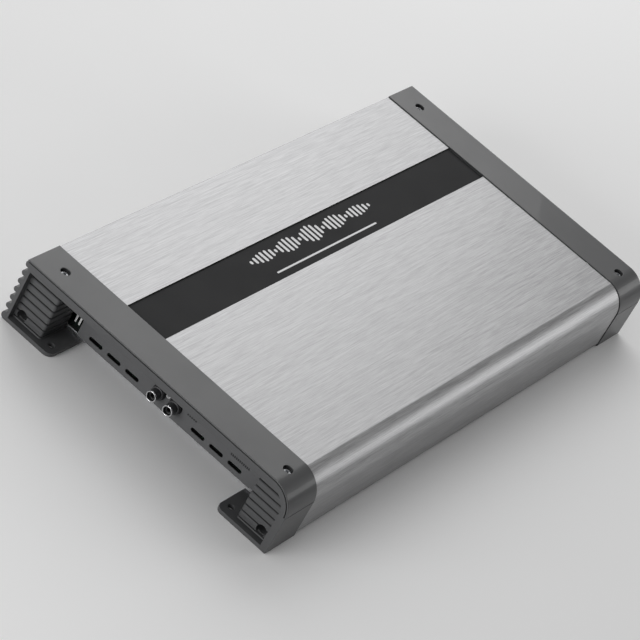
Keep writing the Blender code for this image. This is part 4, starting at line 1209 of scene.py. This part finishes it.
class AMPLIFIER_OT_terminals(bpy.types.Operator):
    """Make the power and speaker terminal blocks with their clamp screws"""

    bl_idname = "amplifier.terminals"
    bl_label = "Terminals"

    margin = 2.4 * MM
    screw_radius = 2.4 * MM

    def block_of(self, node, screws, bore):
        low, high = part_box(node)
        places = [middle_of(name) for name in screws]
        middle_z = low.z + self.margin + bore / 2
        shape = soften(block(*zip(low, high)), 0.5 * MM, 3)
        entries, wells, liners_and_slot_shade = [], [], []
        for place in places:
            half = bore / 2
            entry = soften(
                block(
                    (high.x + 1 * MM, at(1, 30 * MM)),
                    (place.y - half, place.y + half),
                    (middle_z - half, middle_z + half),
                ),
                0.6 * MM,
                3,
            )
            entries.append(entry)
            well = [(middle_z, 0), (middle_z, self.screw_radius + GAP), (high.z - 0.5 * MM, self.screw_radius + GAP)]
            well += [(high.z + 0.5 * MM, self.screw_radius + GAP + 1 * MM), (high.z + 0.5 * MM, 0)]
            wells.append(turned(well, (place.x, place.y, 0)))
            outer = block(
                (high.x - 1.2 * MM, at(1, 29.6 * MM)),
                (place.y - half + 0.15 * MM, place.y + half - 0.15 * MM),
                (middle_z - half + 0.15 * MM, middle_z + half - 0.15 * MM),
            )
            inner = block(
                (high.x + 1 * MM, at(1, 28.8 * MM)),
                (place.y - half + 0.8 * MM, place.y + half - 0.8 * MM),
                (middle_z - half + 0.8 * MM, middle_z + half - 0.8 * MM),
            )
            mouth = rod(self.screw_radius + GAP, middle_z, high.z, (place.x, place.y, 0))
            liners_and_slot_shade.append(cut(cut(outer, inner), mouth))
        partitions = [
            soften(
                block((high.x - 12 * MM, high.x), (y - 0.7 * MM, y + 0.7 * MM), (high.z - 0.5 * MM, high.z + 1.6 * MM)),
                0.3 * MM,
            )
            for y in ((a.y + b.y) / 2 for a, b in zip(places, places[1:]))
        ]
        shape = cut(cut(shape, *entries), *wells)
        shape = combined(shape, joined(*partitions), "UNION")
        add_piece(f"{node}_moulding", shape, finishes()["moulding"], [node])
        add_piece(f"{node}_contacts", joined(*liners_and_slot_shade), finishes()["brass"])

    def execute(self, context):
        for kind, count, bore in (("power", 3, 9 * MM), ("speaker", 4, 7 * MM)):
            screws = [f"{kind}_clamp_screw_{number}" for number in range(1, count + 1)]
            self.block_of(f"{kind}_terminal_block", screws, bore)
            for name in screws:
                low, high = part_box(name)
                middle = middle_of(name)
                profile = [(low.z, 0), (low.z, 1.7 * MM), (low.z + 0.8 * MM, self.screw_radius)]
                profile += [(high.z - 0.3 * MM, self.screw_radius), (high.z, self.screw_radius - 0.3 * MM)]
                profile += [(high.z, 0)]
                recess = prism(polygon((middle.x, middle.y), 1.35 * MM, 6), "Z", high.z - 1.8 * MM, high.z + 1 * MM)
                screw = cut(turned(profile, (middle.x, middle.y, 0)), recess)
                add_piece(f"{name}_grub", screw, finishes()["brass"], [name], name)
        return {"FINISHED"}


class AMPLIFIER_OT_fuses(bpy.types.Operator):
    """Make the fuse holder and its two blade fuses"""

    bl_idname = "amplifier.fuses"
    bl_label = "Fuses"

    body_length = 10 * MM

    def execute(self, context):
        low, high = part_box("fuse_holder")
        shape = soften(block(*zip(low, high)), 0.5 * MM, 3)
        pockets, slits = [], []
        for name in ("fuse_left", "fuse_right"):
            fuse_low, fuse_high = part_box(name)
            seat = fuse_high.x - self.body_length
            slack = 0.4 * MM
            pockets.append(
                block(
                    (high.x + 1 * MM, seat - slack),
                    (fuse_low.y - slack, fuse_high.y + slack),
                    (fuse_low.z - slack, fuse_high.z + slack),
                )
            )
            for rise in (-1, 1):
                middle = middle_of(name).z + rise * 5.5 * MM
                slits.append(
                    block(
                        (seat, seat - 10 * MM),
                        (middle_of(name).y - 0.9 * MM, middle_of(name).y + 0.9 * MM),
                        (middle - 3.1 * MM, middle + 3.1 * MM),
                    )
                )
        shape = cut(cut(shape, *pockets), *slits)
        add_piece("fuse_holder_moulding", soften(shape, 0.15 * MM, 2, 60), finishes()["moulding"], ["fuse_holder"])
        for name in ("fuse_left", "fuse_right"):
            self.fuse(name)
        return {"FINISHED"}

    def fuse(self, name):
        """A tinted body with a waist and two windows in its end, and two tin blades."""
        low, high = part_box(name)
        middle = middle_of(name)
        seat = high.x - self.body_length
        body = block((seat, high.x), (low.y, high.y), (low.z, high.z))
        waist = [
            block((seat - 1 * MM, high.x - 3 * MM), (low.y - 1 * MM, high.y + 1 * MM), (z - 1.2 * MM, z + 1.2 * MM))
            for z in (low.z, high.z)
        ]
        windows = [
            rod(0.7 * MM, high.x - 1.5 * MM, high.x + 1 * MM, (0, middle.y, middle.z + rise * 5 * MM), "X")
            for rise in (-1, 1)
        ]
        body = soften(cut(body, *waist), 0.4 * MM, 3, 60)
        add_piece(f"{name}_body", cut(body, *windows), finishes()["fuse"], [name], name)
        blades = [
            soften(
                block(
                    (seat + 1 * MM, low.x),
                    (middle.y - 0.4 * MM, middle.y + 0.4 * MM),
                    (middle.z + rise * 5.5 * MM - 2.6 * MM, middle.z + rise * 5.5 * MM + 2.6 * MM),
                ),
                0.15 * MM,
            )
            for rise in (-1, 1)
        ]
        add_piece(f"{name}_blades", joined(*blades), finishes()["steel"], body=name)


class AMPLIFIER_OT_output_panel(bpy.types.Operator):
    """Make the power end's panel with its windows, vents and marks"""

    bl_idname = "amplifier.output_panel"
    bl_label = "Power Panel"

    vent_z = 39 * MM

    def execute(self, context):
        low, high = panel_span(1)
        room = 0.4 * MM
        tools = []
        for name in ("power_terminal_block", "speaker_terminal_block", "fuse_holder"):
            node_low, node_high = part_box(name)
            window = (node_low.y - room, node_high.y + room)
            tools.append(block((low, high), window, (node_low.z - room, node_high.z + room)))
        tools += vent_slots((low, high), self.vent_z)
        shape = panel_shape(1, context.scene.amplifier_sizes.edge * 0.7, tools)
        add_piece("power_panel_sheet", shape, finishes()["panel"], ["output_panel"])
        # Painted shade: black rings inside the power panel's slots.
        add_painted_slot_shade("power_panel_painted_shade", 1, self.vent_z)
        self.print_marks()
        return {"FINISHED"}

    def print_marks(self):
        """A plus and a minus over the outer power poles, and over the speaker poles in turn."""
        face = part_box("output_panel")[1].x
        span = (face - 0.1 * MM, face + 0.05 * MM)
        arm, half = 1.3 * MM, 0.25 * MM
        marks = []
        signs = {"power_clamp_screw_1": "+", "power_clamp_screw_3": "-"}
        signs |= {f"speaker_clamp_screw_{number}": "+-"[number % 2] for number in range(1, 5)}
        for name, sign in signs.items():
            y, z = middle_of(name).y, 33 * MM
            marks.append(block(span, (y - arm, y + arm), (z - half, z + half)))
            if sign == "+":
                upright = block(span, (y - half, y + half), (z - arm, z + arm))
                marks[-1] = combined(marks[-1], upright, "UNION")
        add_piece("power_panel_marks", joined(*marks), finishes()["print"])


class AMPLIFIER_OT_bottom(bpy.types.Operator):
    """Make the bottom cover and its screws"""

    bl_idname = "amplifier.bottom"
    bl_label = "Bottom Cover"

    def execute(self, context):
        low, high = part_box("bottom_cover")
        shape = soften(block(*zip(low, high)), 0.3 * MM, 2)
        places = [middle_of(f"bottom_screw_{number}") for number in range(1, 5)]
        tools = [rod(PORT_RADIUS, 0, 2 * high.z, (place.x, place.y, 0)) for place in places]
        tools += [
            prism(stadium((x * MM, y * MM), 40 * MM, 3 * MM), "Z", 0, 2 * high.z)
            for x in (-90, 90)
            for y in range(-32, 33, 16)
        ]
        add_piece("bottom_cover_sheet", cut(shape, *tools), finishes()["zinc"], ["bottom_cover"])
        for number, place in enumerate(places, 1):
            low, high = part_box(f"bottom_screw_{number}")
            head = low.z + 1.6 * MM
            profile = [(low.z, 0), (low.z, 1.6 * MM)]
            profile += arc((low.z + 1.1 * MM, 1.6 * MM), 1.1 * MM, math.pi, math.pi / 2, 6)[1:]
            profile += [(head, 2.7 * MM), (head, 1.5 * MM), (high.z, 1.5 * MM), (high.z, 0)]
            cross = [
                block((place.x - a, place.x + a), (place.y - b, place.y + b), (low.z - 1 * MM, low.z + 0.9 * MM))
                for a, b in ((1.3 * MM, 0.3 * MM), (0.3 * MM, 1.3 * MM))
            ]
            screw = turned(profile, (place.x, place.y, 0))
            for slot in cross:
                screw = cut(screw, slot)
            add_piece(f"bottom_fixing_{number}", screw, finishes()["steel"], [f"bottom_screw_{number}"])
        return {"FINISHED"}


class AMPLIFIER_OT_internals(bpy.types.Operator):
    """Make the boards and the parts that stand on them"""

    bl_idname = "amplifier.internals"
    bl_label = "Inside Parts"

    legs = (-5.4 * MM, 0, 5.4 * MM)
    chip_rows = ((-150, 60), (-150, 20), (-150, -20), (-150, -60), (-60, 60), (60, 60), (150, 55), (150, -60))

    def coil(self, node, turns, thick, material):
        """A ring core with its turns of wire."""
        low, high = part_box(node)
        middle = (low + high) / 2
        reach = (high.z - low.z) / 2
        ring = (high.x - low.x) / 2 - reach
        section = [(z, r) for r, z in polygon((ring, 0), reach - 2 * thick, 28)]
        core = turned(section, middle, steps=72)
        wire = [(z, r) for r, z in polygon((reach - thick, 0), thick, 6)]
        loop = turned(wire, steps=24)
        stand = Matrix.Translation((ring, 0, 0)) @ Matrix.Rotation(math.pi / 2, 4, "X")
        loops = [
            copied(loop, Matrix.Translation(middle) @ Matrix.Rotation(math.tau * turn / turns, 4, "Z") @ stand)
            for turn in range(turns)
        ]
        loop.free()
        add_piece(f"{node}_core", core, finishes()["moulding"])
        add_piece(f"{node}_winding", joined(*loops), material, [node])

    def can(self, node):
        """A sleeved can with a crimp near its foot and a scored metal top."""
        low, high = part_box(node)
        middle = (low + high) / 2
        radius = (high.x - low.x) / 2
        top = high.z - 0.4 * MM
        profile = [(low.z, 0), (low.z, radius - 0.6 * MM), (low.z + 0.6 * MM, radius)]
        profile += [(low.z + 3 * MM, radius), (low.z + 3.6 * MM, radius - 0.7 * MM)]
        profile += [(low.z + 4.4 * MM, radius - 0.7 * MM), (low.z + 5 * MM, radius)]
        profile += arc((top - 0.8 * MM, radius - 0.8 * MM), 0.8 * MM, math.pi / 2, 0, 6)
        profile += [(top, radius - 2 * MM), (top - 0.5 * MM, radius - 2 * MM), (top - 0.5 * MM, 0)]
        add_piece(f"{node}_sleeve", turned(profile, (middle.x, middle.y, 0), steps=72), finishes()["sleeve"], [node])
        disc = rod(radius - 2.1 * MM, top - 0.45 * MM, top, (middle.x, middle.y, 0), steps=64)
        scores = [
            prism(
                [(middle.x + x, middle.y + y) for x, y in outline], "Z", top - 0.25 * MM, top + 1 * MM
            )
            for outline in (stadium((0, 0), 14 * MM, 0.5 * MM), [(y, x) for x, y in stadium((0, 0), 14 * MM, 0.5 * MM)])
        ]
        for score in scores:
            disc = cut(disc, score)
        add_piece(f"{node}_top", disc, finishes()["steel"])

    def transistor(self, node):
        """A moulded package with a dimple, on three legs."""
        low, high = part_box(node)
        middle = (low + high) / 2
        package = soften(block(*zip(low, high)), 0.5 * MM, 3)
        face = low.y if middle.y > 0 else high.y
        dimple = copied(
            rod(1.8 * MM, -0.4 * MM, 0.4 * MM, steps=32),
            Matrix.Translation((middle.x, face, high.z - 4 * MM)) @ Matrix.Rotation(math.pi / 2, 4, "X"),
        )
        add_piece(f"{node}_package", cut(package, dimple), finishes()["moulding"], [node])
        board_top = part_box("main_board")[1].z
        legs = [
            block(
                (middle.x + x - 0.6 * MM, middle.x + x + 0.6 * MM),
                (middle.y - 0.3 * MM, middle.y + 0.3 * MM),
                (board_top, low.z + 0.5 * MM),
            )
            for x in self.legs
        ]
        add_piece(f"{node}_legs", joined(*legs), finishes()["steel"])

    def clamp_bar(self, node):
        """A plated bar with a screw through its middle."""
        low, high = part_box(node)
        middle = (low + high) / 2
        inward = -1 if middle.y > 0 else 1
        lay = Matrix.Translation(middle) @ Matrix.Rotation(-inward * math.pi / 2, 4, "X")
        hole = copied(rod(1.7 * MM, -4 * MM, 4 * MM), lay)
        bar = cut(soften(block(*zip(low, high)), 0.4 * MM, 3), hole)
        add_piece(f"{node}_strip", bar, finishes()["zinc"], [node])
        screw = socket_screw(2.75 * MM, 2.2 * MM, 1.5 * MM, 4 * MM)
        lift = Matrix.Translation((0, 0, (high.y - low.y) / 2))
        add_piece(f"{node}_screw", copied(screw, lay @ lift), finishes()["steel"])
        screw.free()

    def board(self, node, parts, material):
        low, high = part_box(node)
        plate = soften(block(*zip(low, high)), 0.15 * MM)
        add_piece(f"{node}_laminate", plate, finishes()["board"], [node])
        add_piece(f"{node}_parts", joined(*parts), material)

    def small_parts(self):
        """Chips in rows with small blocks between them."""
        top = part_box("main_board")[1].z
        parts = []
        for x, y in self.chip_rows:
            x, y = x * MM, y * MM
            parts.append(
                soften(block((x - 5 * MM, x + 5 * MM), (y - 3 * MM, y + 3 * MM), (top, top + 2 * MM)), 0.3 * MM)
            )
            for step in range(6):
                place = x - 10 * MM + step * 4 * MM
                parts.append(
                    block((place, place + 2 * MM), (y + 7 * MM, y + 8.2 * MM), (top, top + 0.6 * MM))
                )
        return parts

    def carriers(self):
        """The bodies of the knobs, the switch and the lamp."""
        low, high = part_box("control_board")
        parts = []
        for name in ("gain_knob", "low_pass_knob", "bass_boost_knob", "filter_switch", "status_light"):
            y = middle_of(name).y
            half = 5 * MM
            parts.append(
                soften(block((low.x, high.x - 1.6 * MM), (y - half, y + half), (CONTROL_Z - half, CONTROL_Z + half)), 0.4 * MM, 3)
            )
        return parts

    def execute(self, context):
        kinds = finishes()
        self.board("main_board", self.small_parts(), kinds["moulding"])
        low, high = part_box("control_board")
        plate = soften(block((high.x - 1.6 * MM, high.x), (low.y, high.y), (low.z, high.z)), 0.15 * MM)
        add_piece("control_laminate", plate, kinds["board"], ["control_board"])
        add_piece("control_carriers", joined(*self.carriers()), kinds["moulding"])
        self.coil("supply_transformer", 84, 0.8 * MM, kinds["winding"])
        self.coil("output_choke", 56, 0.7 * MM, kinds["winding"])
        for number in (1, 2, 3):
            self.can(f"reservoir_capacitor_{number}")
        for side in ("left", "right"):
            self.clamp_bar(f"clamp_bar_{side}")
            for number in (1, 2):
                self.transistor(f"transistor_{side}_{number}")
        return {"FINISHED"}


class AMPLIFIER_OT_studio(bpy.types.Operator):
    """Set up the floor, the lights, the room and the camera"""

    bl_idname = "amplifier.studio"
    bl_label = "Studio"

    def execute(self, context):
        scene = context.scene
        studio = scene.amplifier_studio
        scene.view_settings.view_transform = "Standard"
        self.floor(scene)
        self.room(scene, studio)
        self.softbox("overhead_softbox", (0.95, 0.95, 0.95), 1.7, 1.2, studio.overhead)
        self.softbox("strip_light", (1.55, -1.1, 0.66), 1.3, 0.45, studio.strip)
        self.softbox("front_fill", (-1.7, 0.35, 0.5), 1.2, 0.7, studio.fill)
        self.camera(scene, studio)
        return {"FINISHED"}

    def floor(self, scene):
        shape = bmesh.new()
        bmesh.ops.create_grid(shape, x_segments=1, y_segments=1, size=12)
        mesh = bpy.data.meshes.new("floor")
        shape.to_mesh(mesh)
        shape.free()
        finish = Finish("floor paint", scene.amplifier_colours.floor, 0.0, 0.7)
        finish.gloss(finish.noise(6, 3), 0.05)
        mesh.materials.append(finish.material)
        floor = bpy.data.objects.new("floor", mesh)
        scene.collection.objects.link(floor)

    def room(self, scene, studio):
        """A pale room, lighter on the side of the main light."""
        world = bpy.data.worlds.new("room")
        world.use_nodes = True
        scene.world = world
        nodes, links = world.node_tree.nodes, world.node_tree.links
        background = nodes["Background"]
        background.inputs["Color"].default_value = (1, 1, 1, 1)
        direction = nodes.new("ShaderNodeTexCoord")
        lean = nodes.new("ShaderNodeVectorMath")
        lean.operation = "DOT_PRODUCT"
        lean.inputs[1].default_value = Vector(studio.window).normalized()
        fade = nodes.new("ShaderNodeMapRange")
        fade.interpolation_type = "SMOOTHSTEP"
        fade.inputs["From Min"].default_value = -0.45
        fade.inputs["From Max"].default_value = 1
        fade.inputs["To Min"].default_value = studio.shade
        fade.inputs["To Max"].default_value = studio.sky
        links.new(direction.outputs["Generated"], lean.inputs[0])
        links.new(lean.outputs["Value"], fade.inputs["Value"])
        links.new(fade.outputs["Result"], background.inputs["Strength"])

    def softbox(self, name, place, width, depth, power):
        light = bpy.data.lights.new(name, "AREA")
        light.shape = "RECTANGLE"
        light.size = width
        light.size_y = depth
        light.energy = power
        lamp = bpy.data.objects.new(name, light)
        lamp.location = place
        lamp.rotation_euler = (-Vector(place)).to_track_quat("-Z", "Y").to_euler()
        bpy.context.scene.collection.objects.link(lamp)

    def camera(self, scene, studio):
        """Look at the aim from the given distance and angles, then roll about the line of sight."""
        flat = math.cos(studio.elevation)
        sight = Vector(
            (flat * math.cos(studio.heading), flat * math.sin(studio.heading), -math.sin(studio.elevation))
        )
        across = sight.cross(Vector((0, 0, 1))).normalized()
        upwards = across.cross(sight)
        right = across * math.cos(studio.roll) + upwards * math.sin(studio.roll)
        up = right.cross(sight)
        camera = bpy.data.objects.new("camera", bpy.data.cameras.new("camera"))
        camera.data.lens = studio.lens
        camera.data.sensor_width = 36
        turn = Matrix((right, up, -sight)).transposed()
        camera.matrix_world = Matrix.Translation(Vector(studio.aim) - sight * studio.distance) @ turn.to_4x4()
        scene.collection.objects.link(camera)
        scene.camera = camera


STEPS = (
    AMPLIFIER_OT_studio,
    AMPLIFIER_OT_body,
    AMPLIFIER_OT_stripe,
    AMPLIFIER_OT_end_frames,
    AMPLIFIER_OT_end_covers,
    AMPLIFIER_OT_frame_screws,
    AMPLIFIER_OT_input_panel,
    AMPLIFIER_OT_sockets,
    AMPLIFIER_OT_controls,
    AMPLIFIER_OT_output_panel,
    AMPLIFIER_OT_terminals,
    AMPLIFIER_OT_fuses,
    AMPLIFIER_OT_bottom,
    AMPLIFIER_OT_internals,
)


class AMPLIFIER_PT_panel(bpy.types.Panel):
    """Lists the steps that build the amplifier"""

    bl_label = "Amplifier"
    bl_idname = "AMPLIFIER_PT_panel"
    bl_space_type = "VIEW_3D"
    bl_region_type = "UI"
    bl_category = "Amplifier"

    def draw(self, context):
        layout = self.layout
        for group in (
            context.scene.amplifier_sizes,
            context.scene.amplifier_colours,
            context.scene.amplifier_studio,
        ):
            box = layout.box()
            for name in group.__annotations__:
                box.prop(group, name)
        for step in STEPS:
            layout.operator(step.bl_idname)


GROUPS = {
    "amplifier_sizes": AmplifierSizes,
    "amplifier_colours": AmplifierColours,
    "amplifier_studio": AmplifierStudio,
}


def register():
    for kind in (*GROUPS.values(), *STEPS, AMPLIFIER_PT_panel):
        bpy.utils.register_class(kind)
    for name, group in GROUPS.items():
        setattr(bpy.types.Scene, name, PointerProperty(type=group))


def unregister():
    for name in GROUPS:
        delattr(bpy.types.Scene, name)
    for kind in reversed((*GROUPS.values(), *STEPS, AMPLIFIER_PT_panel)):
        bpy.utils.unregister_class(kind)


def main():
    register()
    bpy.ops.amplifier.studio()
    bpy.ops.amplifier.body()
    bpy.ops.amplifier.stripe()
    bpy.ops.amplifier.end_frames()
    bpy.ops.amplifier.end_covers()
    bpy.ops.amplifier.frame_screws()
    bpy.ops.amplifier.input_panel()
    bpy.ops.amplifier.sockets()
    bpy.ops.amplifier.controls()
    bpy.ops.amplifier.output_panel()
    bpy.ops.amplifier.terminals()
    bpy.ops.amplifier.fuses()
    bpy.ops.amplifier.bottom()
    bpy.ops.amplifier.internals()


if __name__ == "__main__":
    main()
